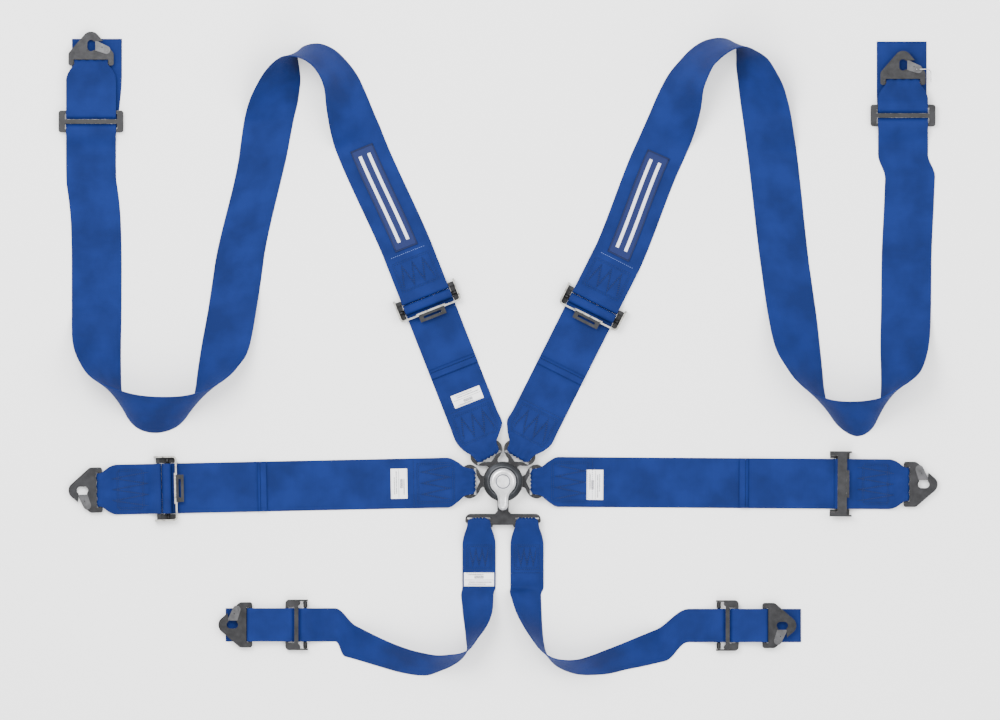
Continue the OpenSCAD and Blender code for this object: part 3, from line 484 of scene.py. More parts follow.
# -------------------------------------------------------------------------------- meshes
def outward(points: np.ndarray, faces: np.ndarray) -> np.ndarray:
    """Turns the faces round if the closed shape's signed volume is negative."""
    a, b, c = points[faces[:, 0]], points[faces[:, 1]], points[faces[:, 2]]
    volume = np.einsum("ij,ij->i", a, np.cross(b, c)).sum()
    if faces.shape[1] == 4:
        d = points[faces[:, 3]]
        volume += np.einsum("ij,ij->i", a, np.cross(c, d)).sum()
    return faces[:, ::-1] if volume < 0 else faces


def grid_faces(rows: int, columns: int, round_columns: bool,
               round_rows: bool = False) -> np.ndarray:
    """Quads of a grid whose columns, and rows too, may close into a ring."""
    i, j = np.meshgrid(np.arange(rows - (not round_rows)),
                       np.arange(columns - (not round_columns)), indexing="ij")
    k, m = (j + 1) % columns, (i + 1) % rows
    quads = np.stack([i * columns + j, i * columns + k, m * columns + k, m * columns + j], -1)
    return quads.reshape(-1, 4)


def add_mesh(name: str, points_mm: np.ndarray, faces: list[list[int]],
             material: bpy.types.Material, node: str, uv_mm: np.ndarray | None = None,
             smooth: bool = True) -> bpy.types.Object:
    """Puts a worked-out surface into the scene on the body that carries a node.

    Args:
        name: the piece's name.
        points_mm: (n, 3) points in millimetres in the harness's frame.
        faces: corner lists, all pointing outwards.
        material: the finish.
        node: a node of the body that it moves with.
        uv_mm: (n, 2) distances across and along, for a pattern that follows the surface.
        smooth: whether the faces are shaded as one curved surface.

    Returns:
        The new object.
    """
    mesh = bpy.data.meshes.new(name)
    mesh.from_pydata((points_mm * MM).tolist(), [], faces)
    mesh.materials.append(material)
    if uv_mm is not None:
        corners = np.empty(len(mesh.loops), dtype=np.int32)
        mesh.loops.foreach_get("vertex_index", corners)
        layer = mesh.uv_layers.new(name="weave")
        layer.data.foreach_set("uv", (uv_mm[corners] * MM).astype(np.float32).ravel())
    mesh.polygons.foreach_set("use_smooth", np.full(len(mesh.polygons), smooth))
    mesh.update()
    piece = bpy.data.objects.new(name, mesh)
    bpy.context.scene.collection.objects.link(piece)
    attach(piece, body_of(node))
    return piece


def ring_mesh(name: str, rings: np.ndarray, material: bpy.types.Material, node: str,
              uv_mm: np.ndarray | None = None) -> bpy.types.Object:
    """A closed surface from rings of points, with both ends capped.

    Args:
        name: the piece's name.
        rings: (n, m, 3) points in millimetres, m round each ring.
        material: the finish.
        node: a node of the body that it moves with.
        uv_mm: (n, m, 2) distances for the pattern.

    Returns:
        The new object.
    """
    count, size = rings.shape[:2]
    points = rings.reshape(-1, 3)
    quads = grid_faces(count, size, True)
    turned = outward(points, quads)
    flipped = turned[0, 0] != quads[0, 0]
    first, last = list(range(size)), list(range((count - 1) * size, count * size))
    caps = [first, last[::-1]] if flipped else [first[::-1], last]
    flat = None if uv_mm is None else uv_mm.reshape(-1, 2)
    return add_mesh(name, points, turned.tolist() + caps, material, node, flat)


Chooser = Callable[[np.ndarray, np.ndarray], np.ndarray]


def machined(node: str, finish: bpy.types.Material, edge: bpy.types.Material,
             width_mm: float = 0.45, steep: float = 32,
             rubbed: tuple[Chooser, bpy.types.Material] | None = None) -> None:
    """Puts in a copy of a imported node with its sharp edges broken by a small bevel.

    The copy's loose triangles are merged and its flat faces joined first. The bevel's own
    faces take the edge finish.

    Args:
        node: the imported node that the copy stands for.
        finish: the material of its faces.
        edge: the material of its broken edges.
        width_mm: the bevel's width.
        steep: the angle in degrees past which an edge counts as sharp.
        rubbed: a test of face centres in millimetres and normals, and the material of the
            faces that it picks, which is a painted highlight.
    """
    mesh = frame["nodes"][node].data.copy()
    mesh.name = f"{node}_finished"
    mesh.materials.clear()
    shape = bmesh.new()
    shape.from_mesh(mesh)
    bmesh.ops.remove_doubles(shape, verts=shape.verts, dist=SAME_POINT)
    bmesh.ops.dissolve_limit(shape, angle_limit=math.radians(FLAT_DEGREES),
                             verts=shape.verts, edges=shape.edges)
    sharp = [e for e in shape.edges
             if e.is_manifold and e.calc_face_angle(0) > math.radians(steep)]
    bmesh.ops.bevel(shape, geom=sharp, offset=width_mm * MM, offset_type="OFFSET",
                    segments=2, profile=BEVEL_PROFILE, affect="EDGES", clamp_overlap=True,
                    material=1)
    for face in shape.faces:
        face.smooth = True
    shape.to_mesh(mesh)
    shape.free()
    mesh.materials.append(finish)
    mesh.materials.append(edge)
    # The faces that the test picks take the painted highlight finish.
    if rubbed is not None:
        choose, bare = rubbed
        count = len(mesh.polygons)
        centres, normals = np.empty(count * 3), np.empty(count * 3)
        mesh.polygons.foreach_get("center", centres)
        mesh.polygons.foreach_get("normal", normals)
        kinds = np.empty(count, dtype=np.int32)
        mesh.polygons.foreach_get("material_index", kinds)
        kinds[choose(centres.reshape(-1, 3) / MM, normals.reshape(-1, 3))] = 2
        mesh.polygons.foreach_set("material_index", kinds)
        mesh.materials.append(bare)
    piece = bpy.data.objects.new(mesh.name, mesh)
    bpy.context.scene.collection.objects.link(piece)
    weighted = piece.modifiers.new("weighted_normals", "WEIGHTED_NORMAL")
    weighted.keep_sharp = True
    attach(piece, body_of(node))
    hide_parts(node)


# -------------------------------------------------------------------------------- strips
@dataclass
class Strip:
    """A band of cloth, as pairs of points on its two edges from one end to the other.

    Attributes:
        edges: (n, 2, 3) millimetres.
        width: its full flat width.
        thick: its thickness.
    """

    edges: np.ndarray
    width: float
    thick: float = 1.5

    def __post_init__(self) -> None:
        """Works out the middle line, half widths, distances and upward normals."""
        self.middle = self.edges.mean(1)
        self.half = (self.edges[:, 0] - self.edges[:, 1]) / 2
        steps = np.linalg.norm(np.diff(self.middle, axis=0), axis=1)
        self.along = np.concatenate([[0.0], np.cumsum(steps)])
        ahead = np.gradient(self.middle, axis=0)
        self.normal = unit(np.cross(ahead, self.half))

    @property
    def length(self) -> float:
        """The strip's length along its middle."""
        return float(self.along[-1])

    def smoothed(self, step: float = 5.0) -> Strip:
        """The same strip with more rows, no more than step apart."""
        flat = self.edges.reshape(len(self.edges), 6)
        counts = np.maximum(2, np.ceil(np.diff(self.along) / step)).astype(int)
        parts = [np.linspace(a, b, n, endpoint=False)
                 for a, b, n in zip(self.along[:-1], self.along[1:], counts)]
        wanted = np.concatenate([*parts, self.along[-1:]])
        dense = monotone_cubic(self.along, flat, wanted)
        return Strip(dense.reshape(-1, 2, 3), self.width, self.thick)

    def where(self, x: float, y: float, top: bool = True) -> float:
        """Distance along the strip at a plan point, in its top layer or its lowest."""
        off = np.hypot(self.middle[:, 0] - x, self.middle[:, 1] - y)
        near = np.flatnonzero(off < off.min() + 4)
        height = self.middle[near, 2]
        return float(self.along[near[height.argmax() if top else height.argmin()]])

    def on(self, v: np.ndarray, u: np.ndarray, lift: float | np.ndarray) -> np.ndarray:
        """Points lifted off the strip's middle surface.

        Args:
            v: distances along the strip.
            u: distances across it from the middle, as cut.
            lift: height above it, towards whichever side faces up there.

        Returns:
            (..., 3) points.
        """
        def at(values: np.ndarray) -> np.ndarray:
            return np.stack([np.interp(v, self.along, values[:, k]) for k in range(3)], -1)

        up = unit(at(self.normal))
        up = up * np.where(up[..., 2:] < 0, -1, 1)
        share = (np.asarray(u) / (self.width / 2))[..., None]
        return at(self.middle) + at(self.half) * share + up * np.asarray(lift)[..., None]

    def piece(self, v0: float, v1: float, u0: float, u1: float, lift: float,
              thick: float) -> Strip:
        """A smaller strip that lies on this one between given distances."""
        count = max(3, int(abs(v1 - v0) / 4) + 2)
        v = np.linspace(v0, v1, count)
        edges = np.stack([self.on(v, np.full(count, u1), lift),
                          self.on(v, np.full(count, u0), lift)], 1)
        return Strip(edges, abs(u1 - u0), thick)

    def build(self, name: str, material: bpy.types.Material, node: str,
              columns: int = 16, pleat: float = 0.0) -> bpy.types.Object:
        """Makes the strip's closed mesh, with rounded selvedges.

        A section runs over the top from edge to edge, round a half circle as thick as the
        cloth, back beneath and round the other edge. Where the strip is gathered, a cosine
        across it throws the cloth into pleats.

        Args:
            name: the piece's name.
            material: the finish.
            node: a node of the body that it moves with.
            columns: points across the strip.
            pleat: greatest height of the pleats.

        Returns:
            The new object.
        """
        reach = np.linalg.norm(self.half, axis=1)
        across = np.linspace(1, -1, columns)
        turn = np.radians([60, 30, 0, -30, -60])
        bend = self.thick / 2
        side = np.concatenate([across, np.full(5, -1.0), across[::-1], np.full(5, 1.0)])
        high = np.concatenate([np.full(columns, bend), bend * np.sin(turn),
                               np.full(columns, -bend), -bend * np.sin(turn)])
        push = np.concatenate([np.zeros(columns), -bend * np.cos(turn),
                               np.zeros(columns), bend * np.cos(turn)])
        inset = np.maximum(reach - bend, 0.1)
        lateral = side[None] * inset[:, None] + push[None]
        tight = np.clip(1 - reach / (self.width / 2), 0, 0.5) * 2
        fold = pleat * tight[:, None] * np.cos(4 * math.pi * side)[None]
        rings = (self.middle[:, None] + unit(self.half)[:, None] * lateral[..., None]
                 + self.normal[:, None] * (high[None] + fold)[..., None])
        flat = side[None] * self.width / 2 + push[None]
        uv = np.stack([flat + 0 * lateral, self.along[:, None] + 0 * lateral], -1)
        return ring_mesh(name, rings, material, node, uv)


# -------------------------------------------------------------------------------- routes
@dataclass(frozen=True)
class Routes:
    """The ways that the straps run, in rows of numbers as a webbing cutter would list them.

    A row in an upright plane is distance, height, width, sideways offset, turn. A row of a
    standing fold is the floor edge's x and y, then the raised edge's x and y; the width that
    its plan doesn't use is height.
    """

    web: float = 1.5
    gap: float = 0.3
    wide: float = 75
    narrow: float = 50
    tongue_pinch: float = 38
    crotch_pinch: float = 33
    hook_pinch: float = 50
    hem: float = 12
    sewn: float = 86
    rear_sewn: float = 76
    tongue_bar: float = 46
    crotch_bar: float = 59
    tongue_height: float = 9.5
    tongue_turn: float = math.hypot(5, 3) / 2 + 1.05
    hook_turn: float = math.hypot(6, 4) / 2 + 1.05
    roller_turn: float = 5.05
    travel: float = 3
    rear_turn: float = math.hypot(5, 3) / 2 + 1.05
    slide_height: float = 5.55
    slide_thick: float = 2.4
    slide_half: float = 16.5
    lap_inner: float = 503
    lap_outer: float = 101
    lap_tail: float = 147
    shoulder_inner: float = 245
    shoulder_tail: float = 108
    lap_heading: tuple[float, float] = (181.2, -0.4)
    lap_belt: tuple[float, float] = (180, 0)
    shoulder_heading: tuple[float, float] = (111.4, 63.3)
    shoulder_belt: tuple[float, float] = (120, 60)
    shoulder_hook: tuple[tuple[float, float], ...] = ((-618, 627), (600, 598))
    shoulder_slide: tuple[float, float] = (540, 549)
    shoulder_end: tuple[float, float] = (664, 660)
    shoulder_shift: tuple[float, float] = (9, 2)
    crotch_side: float = 36
    crotch_hook: tuple[tuple[float, float], ...] = ((-379, -215), (392, -216))
    crotch_slide: tuple[float, float] = (310, 337)
    crotch_end: tuple[float, float] = (416, 447)

    def layer(self, k: int) -> float:
        """Height of the middle of the layer of webbing numbered k from the floor."""
        return self.web / 2 + k * (self.web + self.gap)

    def shoulder_root(self, side: Side) -> Point:
        """Where a shoulder strap leaves its tongue."""
        return (23 * side.flip, 40)

    @property
    def rear_gap(self) -> float:
        """Distance from a knurled bar's axis to its frame's rear bar."""
        return self.travel + self.roller_turn + self.web + self.gap + self.rear_turn

    @staticmethod
    def arc(s: float, z: float, r: float, start: float, end: float, width: float,
            parts: int = 8) -> list[Row]:
        """Rows on a circle of radius r round distance s and height z."""
        angle = np.radians(np.linspace(start, end, parts + 1))
        return [(s + r * math.cos(a), z + r * math.sin(a), width) for a in angle]

    @staticmethod
    def upright(origin: tuple[float, float], heading: float, side: int,
                rows: list[Row]) -> np.ndarray:
        """Edge pairs of rows that lie in an upright plane through origin."""
        table = np.array([tuple(row) + (0.0,) * (5 - len(row)) for row in rows])
        angle = np.radians(heading + table[:, 4])
        ahead = np.stack([np.cos(angle), np.sin(angle), np.zeros(len(angle))], 1)
        across = np.stack([-np.sin(angle), np.cos(angle), np.zeros(len(angle))], 1)
        middle = np.array([*origin, 0.0]) + ahead * table[:, :1] + across * table[:, 3:4]
        middle[:, 2] += table[:, 1]
        half = across * side * table[:, 2:3] / 2
        return np.stack([middle + half, middle - half], 1)

    def standing(self, rows: list[Row], width: float, raised_first: bool) -> np.ndarray:
        """Edge pairs of a fold that stands on one edge, smoothed between its rows."""
        table = catmull_rom(np.array(rows, dtype=float))
        foot, crest = table[:, :2], table[:, 2:]
        middle = (foot + crest) / 2
        span = np.linalg.norm(crest - foot, axis=1, keepdims=True)
        half = (crest - foot) / 2 * np.minimum(1, width / span)
        rise = np.sqrt(np.maximum(0, width ** 2 - 4 * (half ** 2).sum(1)))
        floor = np.full(len(table), self.layer(0))
        low = np.column_stack([middle - half, floor])
        high = np.column_stack([middle + half, floor + rise])
        return np.stack([high, low] if raised_first else [low, high], 1)

    def tongue_end(self, s: float, width: float, pinch: float, turn: float) -> list[Row]:
        """Rows of the sewn end round a tongue's bar, short layer first."""
        z, r, mid = self.tongue_height, self.tongue_turn, (width + pinch) / 2 + 4
        loop = [(at, high, across * (1 - 0.36 * max(0.0, (s - at) / r) ** 2), 0.0, turn)
                for at, high, across in self.arc(s, z, r, 270, 90, pinch, 10)]
        return [(s + self.sewn, self.layer(0), width), (s + 56, self.layer(0), width),
                (s + 36, 1.3 * self.layer(0) + 0.6, width),
                (s + 22, z - r - 2.4, mid, 0, turn / 2), (s + 10, z - r - 0.4, pinch + 4, 0, turn),
                *loop,
                (s + 10, z + r - 0.6, pinch + 4, 0, turn), (s + 22, z + r - 3.6, mid, 0, turn / 2),
                (s + 36, z + r - 8, width), (s + 56, self.layer(1) + 0.8, width),
                (s + 68, self.layer(1), width), (s + self.sewn + 2, self.layer(1), width),
                (s + self.sewn + 14, self.layer(0), width)]

    def roller_end(self, s: float, width: float, tail: float) -> list[Row]:
        """Rows of the run to a knurled bar, round it and back as a hemmed pull end."""
        r, low, mid, top = self.roller_turn, self.layer(0), self.layer(1), self.layer(2)
        step = self.web + self.gap
        return [(s - tail - 12, low, width), (s - 30, low, width),
                *self.arc(s + self.travel, low + r, r, 270, 450, width),
                *self.arc(s, low + r, r, 90, 190, width, 6),
                (s - r - 1.8, mid + 0.5, width), (s - r - 4.5, mid, width),
                (s - tail, mid, width),
                *self.arc(s - tail, mid + step / 2, step / 2, 250, 110, width, 3),
                (s - tail, top, width), (s - tail + self.hem, top, width)]

    def hook_link(self, a: float, b: float, width: float) -> list[Row]:
        """Rows of the endless strap between a rear bar at a and a hook's bar at b."""
        ra, rb, low, high = self.rear_turn, self.hook_turn, self.layer(0), self.layer(1)
        half_way, pinch = (a + b) / 2, self.hook_pinch
        near, far = pinch + 0.35 * (width - pinch), pinch + 0.75 * (width - pinch)
        return [(half_way, low, width), (b - 24, low, width), (b - 14, low, far),
                (b - 7, low, near),
                *self.arc(b, low + rb, rb, -90, 90, pinch),
                (b - 7, low + 2 * rb - 0.8, near), (b - 14, low + 2 * rb - 2.6, far),
                (b - 24, high + 1, width), (b - 34, high, width), (a + 20, high, width),
                (a + 10, low + 2 * ra - 2, width),
                *self.arc(a, low + ra, ra, 90, 270, width),
                (half_way - 1, low, width)]

    def rear_end(self, a: float, width: float) -> list[Row]:
        """Rows from the sewn end round a rear bar to the single strap beyond it."""
        r, low, high = self.rear_turn, self.layer(0), self.layer(1)
        return [(a + self.rear_sewn - 14, low, width), (a + 18, low, width),
                *self.arc(a, low + r, r, 270, 90, width),
                (a + 10, low + 2 * r - 2, width), (a + 20, high, width),
                (a + self.rear_sewn - 12, high, width), (a + self.rear_sewn, low, width)]

    def wrap_end(self, s: float, b: float, end: float, width: float, pinch: float,
                 shift: float) -> list[Row]:
        """Rows through a slide at s, round a hook's bar at b and back as a tail."""
        r, half = self.hook_turn, self.slide_half
        over = self.slide_height + self.slide_thick + self.gap + self.web / 2 + self.gap
        bar, mid, low = self.layer(1) + r, self.layer(1), self.layer(0)
        weave, step = self.layer(2), self.web + self.gap
        near, far = pinch + 0.4 * (width - pinch), pinch + 0.8 * (width - pinch)
        return [(s - half - 42, low, width), (s - half - 22, 2.4 * low + 0.8, width),
                (s - half - 6, over - 1.4, width), (s - half + 3, over, width),
                (s - half + 7, over - 0.1, width), (s - half + 10, over - 2.2, width),
                (s - 5, weave + 0.3, width), (s, weave, width), (s + 5, weave + 0.3, width),
                (s + half - 10, over - 2.2, width), (s + half - 7, over - 0.1, width),
                (s + half - 3, over, width), (s + half + 4, over + 0.4, width),
                (b - 24, bar + r - 1, width), (b - 15, bar + r - 0.4, far),
                (b - 7, bar + r - 0.1, near),
                *self.arc(b, bar, r, 90, -90, pinch),
                (b - 7, mid, near), (b - 15, mid, far), (b - 24, mid, width),
                (s - half - 1, mid, width),
                *self.arc(s - half - 1, low + step / 2, step / 2, 110, 250, width, 3),
                (s - half - 1, low, width), (s, low, width, shift * 0.3),
                (b - 15, low, width, shift), (end, low, width, shift)]


TOP_FOLD: dict[Side, list[Row]] = {
    Side.LEFT: [
        (-170, 497, -240, 469), (-180, 522, -250, 493), (-193, 552, -259, 525),
        (-206, 583, -265, 560), (-219, 610, -268, 588), (-236, 632, -274, 606),
        (-255, 649, -283, 620), (-278, 657, -294, 630), (-300, 652, -310, 637),
        (-308, 640, -328, 638), (-306, 622, -343, 630), (-304, 605, -358, 614),
        (-305, 590, -370, 594), (-308, 568, -381, 570), (-314, 542, -389, 538),
        (-322, 497, -397, 484)],
    Side.RIGHT: [
        (192, 490, 261, 460), (206, 521, 275, 491), (219, 550, 288, 524),
        (232, 580, 297, 559), (248, 610, 301, 588), (266, 632, 309, 610),
        (284, 650, 317, 625), (305, 662, 333, 640), (330, 665, 348, 649),
        (348, 656, 364, 652), (350, 640, 381, 645), (350, 622, 397, 634),
        (352, 605, 409, 616), (354, 587, 421, 592), (357, 562, 430, 560),
        (361, 535, 435, 532), (366, 497, 441, 492)]}
BOTTOM_FOLD: dict[Side, list[Row]] = {
    Side.LEFT: [
        (-432, 330, -357, 342), (-442, 260, -368, 268), (-452, 205, -381, 200),
        (-458, 165, -398, 172), (-462, 135, -415, 155), (-470, 105, -440, 140),
        (-490, 82, -475, 129), (-520, 73, -516, 127), (-548, 80, -555, 131),
        (-566, 102, -590, 142), (-572, 135, -612, 152), (-573, 165, -630, 170),
        (-573, 205, -645, 205), (-572, 260, -647, 255), (-572, 340, -647, 340),
        (-574, 405, -649, 398), (-580, 455, -655, 448)],
    Side.RIGHT: [
        (459, 330, 384, 340), (470, 250, 396, 258), (475, 205, 408, 203),
        (479, 165, 425, 172), (482, 135, 440, 152), (490, 103, 462, 134),
        (507, 80, 494, 122), (531, 68, 531, 120), (552, 78, 565, 125),
        (564, 102, 588, 137), (567, 135, 610, 150), (567, 165, 628, 168),
        (566, 205, 639, 205), (567, 260, 642, 258), (568, 340, 643, 342),
        (571, 405, 646, 409), (573, 455, 648, 458)]}
CROTCH_TWIST: dict[Side, list[Row]] = {
    Side.LEFT: [
        (-63, -170, -14, -168), (-60, -200, -16, -196), (-57, -222, -24, -216),
        (-55, -240, -37, -234), (-54, -254, -50, -251), (-62, -266, -64, -258),
        (-76, -276, -80, -260), (-94, -284, -98, -261), (-117, -291, -117, -258),
        (-150, -287, -141, -252), (-180, -279, -168, -242), (-210, -270, -196, -229),
        (-238, -262, -223, -215)],
    Side.RIGHT: [
        (57, -170, 10, -166), (58, -200, 19, -194), (59, -222, 29, -214),
        (61, -242, 42, -234), (65, -258, 56, -252), (75, -272, 73, -264),
        (90, -282, 93, -268), (112, -289, 113, -267), (136, -290, 133, -261),
        (160, -288, 151, -254), (185, -282, 174, -245), (215, -276, 203, -233),
        (245, -269, 232, -221)]}


# ------------------------------------------------------------------------------- sewing
@dataclass
class Sewing:
    """Rows of stitches and labels laid on one strip.

    Attributes:
        strip: the cloth.
        node: a node of the body that it moves with.
        finishes: the materials.
        stitch: length of one stitch.
        space: gap between two stitches.
        thread: half the thread's thickness.
        box_rows: insets of the two rows round a sewn box.
        box_passes: shifts of the three passes inside it.
        box_lead: distance from the box's start to the first pass.
        box_trail: distance from the first pass's far peaks to the box's end.
        lines: the rows so far.
    """

    strip: Strip
    node: str
    finishes: Finishes
    stitch: float = 2.2
    space: float = 1.0
    thread: float = 0.5
    box_rows: Row = (0.0, 2.6)
    box_passes: Row = (0.0, 3.4, 6.8)
    box_lead: float = 4.5
    box_trail: float = 11.3
    lines: list[np.ndarray] = field(default_factory=list)

    def line(self, *points: tuple[float, float]) -> None:
        """Adds one row of stitches through points (along, across)."""
        self.lines.append(np.array(points, dtype=float))

    def box(self, v0: float, v1: float, reach: float) -> None:
        """Adds a sewn box: two rows round it and a W of three passes inside."""
        for inset in self.box_rows:
            a, b, r = v0 + inset, v1 - inset, reach - inset
            self.line((a, -r), (b, -r), (b, r), (a, r), (a, -r))
        for shift in self.box_passes:
            a, b = v0 + self.box_lead + shift, v1 - self.box_trail + shift
            r = reach - 5
            peaks = np.linspace(-r, r, 7)
            self.line(*[((a, b)[k % 2], u) for k, u in enumerate(peaks)])

    def sew(self, name: str, material: bpy.types.Material) -> bpy.types.Object:
        """Makes the rows' stitches as one piece: short threads that bow out of the cloth.

        Each stitch is four rings of six points: small, full, full, small.

        Args:
            name: the piece's name.
            material: the thread's finish.

        Returns:
            The new object.
        """
        starts, ends = [], []
        for points in self.lines:
            along = np.concatenate([[0], np.cumsum(np.linalg.norm(np.diff(points, axis=0),
                                                                  axis=1))])
            first = np.arange(0.4, along[-1] - self.stitch, self.stitch + self.space)
            for box, at in ((starts, first), (ends, first + self.stitch)):
                box.append(np.stack([np.interp(at, along, points[:, k]) for k in (0, 1)], 1))
        a, b = np.vstack(starts), np.vstack(ends)
        share = np.array([0.0, 0.2, 0.8, 1.0])
        v = a[:, None, 0] + (b - a)[:, None, 0] * share
        u = a[:, None, 1] + (b - a)[:, None, 1] * share
        bow = self.strip.thick / 2 + np.array([-0.1, 0.16, 0.16, -0.1])
        middle = self.strip.on(v, u, np.broadcast_to(bow, v.shape))
        above = self.strip.on(v, u, np.broadcast_to(bow + 1, v.shape))
        ahead = unit(middle[:, -1:] - middle[:, :1])
        up = above - middle
        side = unit(np.cross(ahead, up))
        turn = np.radians(np.arange(6) * 60)
        size = self.thread * np.array([0.45, 1, 1, 0.45])[None, :, None, None]
        rings = (middle[:, :, None] + size * (side[:, :, None] * np.cos(turn)[:, None]
                                              + up[:, :, None] * np.sin(turn)[:, None]))
        count = len(a)
        quads = grid_faces(4, 6, True)
        first_faces = outward(rings[0].reshape(-1, 3), quads)
        offset = (np.arange(count) * 24)[:, None, None]
        faces = (first_faces[None] + offset).reshape(-1, 4).tolist()
        ring = np.arange(6)
        flipped = first_faces[0, 0] != quads[0, 0]
        caps = np.stack([ring if flipped else ring[::-1],
                         (18 + ring)[::-1] if flipped else 18 + ring])
        faces += (caps[None] + offset).reshape(-1, 6).tolist()
        return add_mesh(name, rings.reshape(-1, 3), faces, material, self.node)

    def label(self, name: str, v: float, u: float, length: float,
              width: float) -> list[bpy.types.Object]:
        """Lays a white printed label across the strap, with its hem stitched down.

        Args:
            name: the piece's name.
            v: distance along the strap of the label's middle.
            u: distance of its middle across the strap.
            length: the label's size across the strap.
            width: its size along the strap.

        Returns:
            The label and its stitches.
        """
        top = self.strip.thick / 2 + 0.25
        cloth = self.strip.piece(v - width / 2, v + width / 2, u - length / 2,
                                 u + length / 2, top, 0.4)
        patch = cloth.build(name, self.finishes.label, self.node, 14)
        layer = patch.data.uv_layers["weave"]
        flat = np.empty(len(layer.data) * 2, dtype=np.float32)
        layer.data.foreach_get("uv", flat)
        pairs = flat.reshape(-1, 2)
        turned = np.column_stack([pairs[:, 1] - cloth.length / 2 * MM, pairs[:, 0]])
        layer.data.foreach_set("uv", turned.astype(np.float32).ravel())
        hem = Sewing(Strip(cloth.edges, length, 0.4), self.node, self.finishes, thread=0.22)
        for edge in (1.4, cloth.length - 1.4):
            hem.line((edge, -length / 2 + 1), (edge, length / 2 - 1))
        return [patch, hem.sew(f"{name}_hem", self.finishes.stripe)]


# --------------------------------------------------------------------------------- straps
@dataclass
class Strap:
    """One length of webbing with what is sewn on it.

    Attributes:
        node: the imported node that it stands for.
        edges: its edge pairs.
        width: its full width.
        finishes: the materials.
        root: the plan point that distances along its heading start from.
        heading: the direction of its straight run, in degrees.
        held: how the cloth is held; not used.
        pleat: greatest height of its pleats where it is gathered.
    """

    node: str
    edges: np.ndarray
    width: float
    finishes: Finishes
    root: Point = (0, 0)
    heading: float = 0
    held: str = "folded"
    pleat: float = 0.9

    def __post_init__(self) -> None:
        """Smooths the route and starts the sewing."""
        self.strip = Strip(self.edges, self.width).smoothed()
        self.sewing = Sewing(self.strip, self.node, self.finishes)
        self.extras: list[bpy.types.Object] = []

    def at(self, distance: float) -> float:
        """Distance along the cloth at a distance from the root along the heading."""
        turn = math.radians(self.heading)
        return self.strip.where(self.root[0] + distance * math.cos(turn),
                                self.root[1] + distance * math.sin(turn))

    def box(self, start: float, end: float, reach: float = 30) -> None:
        """Sews a box between two distances from the root."""
        self.sewing.box(self.at(start), self.at(end), reach)

    def seam(self, distance: float, reach: float = 35) -> None:
        """Sews a straight row across the strap at a distance from the root."""
        place = self.at(distance)
        self.sewing.line((place, -reach), (place, reach))

    def hem(self, start: float) -> None:
        """Sews the two rows of a pull end's hem that starts at a distance."""
        for shift in HEM_ROWS:
            self.seam(start + shift)

    def build(self) -> None:
        cloth = self.strip.build(f"{self.node}_cloth", self.finishes.webbing, self.node,
                                 pleat=self.pleat)
        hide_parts(self.node)
        if self.sewing.lines:
            name = f"{self.node}_stitches"
            self.extras.append(self.sewing.sew(name, self.finishes.thread))
        LOG.info("%s: %.0f x %.0f mm", self.node, self.width, self.strip.length)


@dataclass
class LapStraps:
    """The two lap straps: the long run from the buckle and the short one to the hook.

    Attributes:
        finishes: the materials.
        routes: the runs.
        inner_box: start and end of the sewn box beside the tongue, from the spindle.
        inner_row: place of the row of stitches past it.
        outer_box: start and end of the short strap's sewn box.
        label_at: places of the labels, left and right.
        label_across: how far they lie off the middle, left and right.
        label_size: their length across the strap and their width along it.
    """

    finishes: Finishes
    routes: Routes
    inner_box: Row = (76, 130)
    inner_row: float = 135.5
    outer_box: Row = (540, 573)
    label_at: Row = (155, 144)
    label_across: Row = (0, -4)
    label_size: Row = (45, 25)

    def strap(self, side: Side, kind: str, rows: list[Row], held: str) -> Strap:
        """One run of a lap strap, ready for its sewing."""
        way, heading = self.routes, self.routes.lap_heading[side.value]
        return Strap(f"lap_{side.word}_{kind}_webbing", way.upright((0, 0), heading, 1, rows),
                     way.wide, self.finishes, heading=heading, held=held)

    def inner(self, side: Side) -> None:
        """The run from the buckle to the adjuster, with its pull end."""
        way, i = self.routes, side.value
        strap = self.strap(side, "inner", [
            *way.tongue_end(way.tongue_bar, way.wide, way.tongue_pinch,
                            way.lap_belt[i] - way.lap_heading[i]),
            *way.roller_end(way.lap_inner, way.wide, way.lap_tail)], "laid")
        strap.box(*self.inner_box)
        strap.hem(way.lap_inner - way.lap_tail)
        strap.seam(self.inner_row)
        strap.extras += strap.sewing.label(f"lap_{side.word}_label", strap.at(self.label_at[i]),
                                           self.label_across[i], *self.label_size)
        strap.build()

    def outer(self, side: Side) -> None:
        """The short endless strap between the adjuster and the hook."""
        way = self.routes
        strap = self.strap(side, "outer", way.hook_link(
            way.lap_inner + way.rear_gap, way.lap_inner + way.lap_outer, way.wide), "folded")
        strap.box(*self.outer_box)
        strap.build()

    def build(self) -> None:
        """Builds both sides."""
        for side in Side:
            self.inner(side)
            self.outer(side)


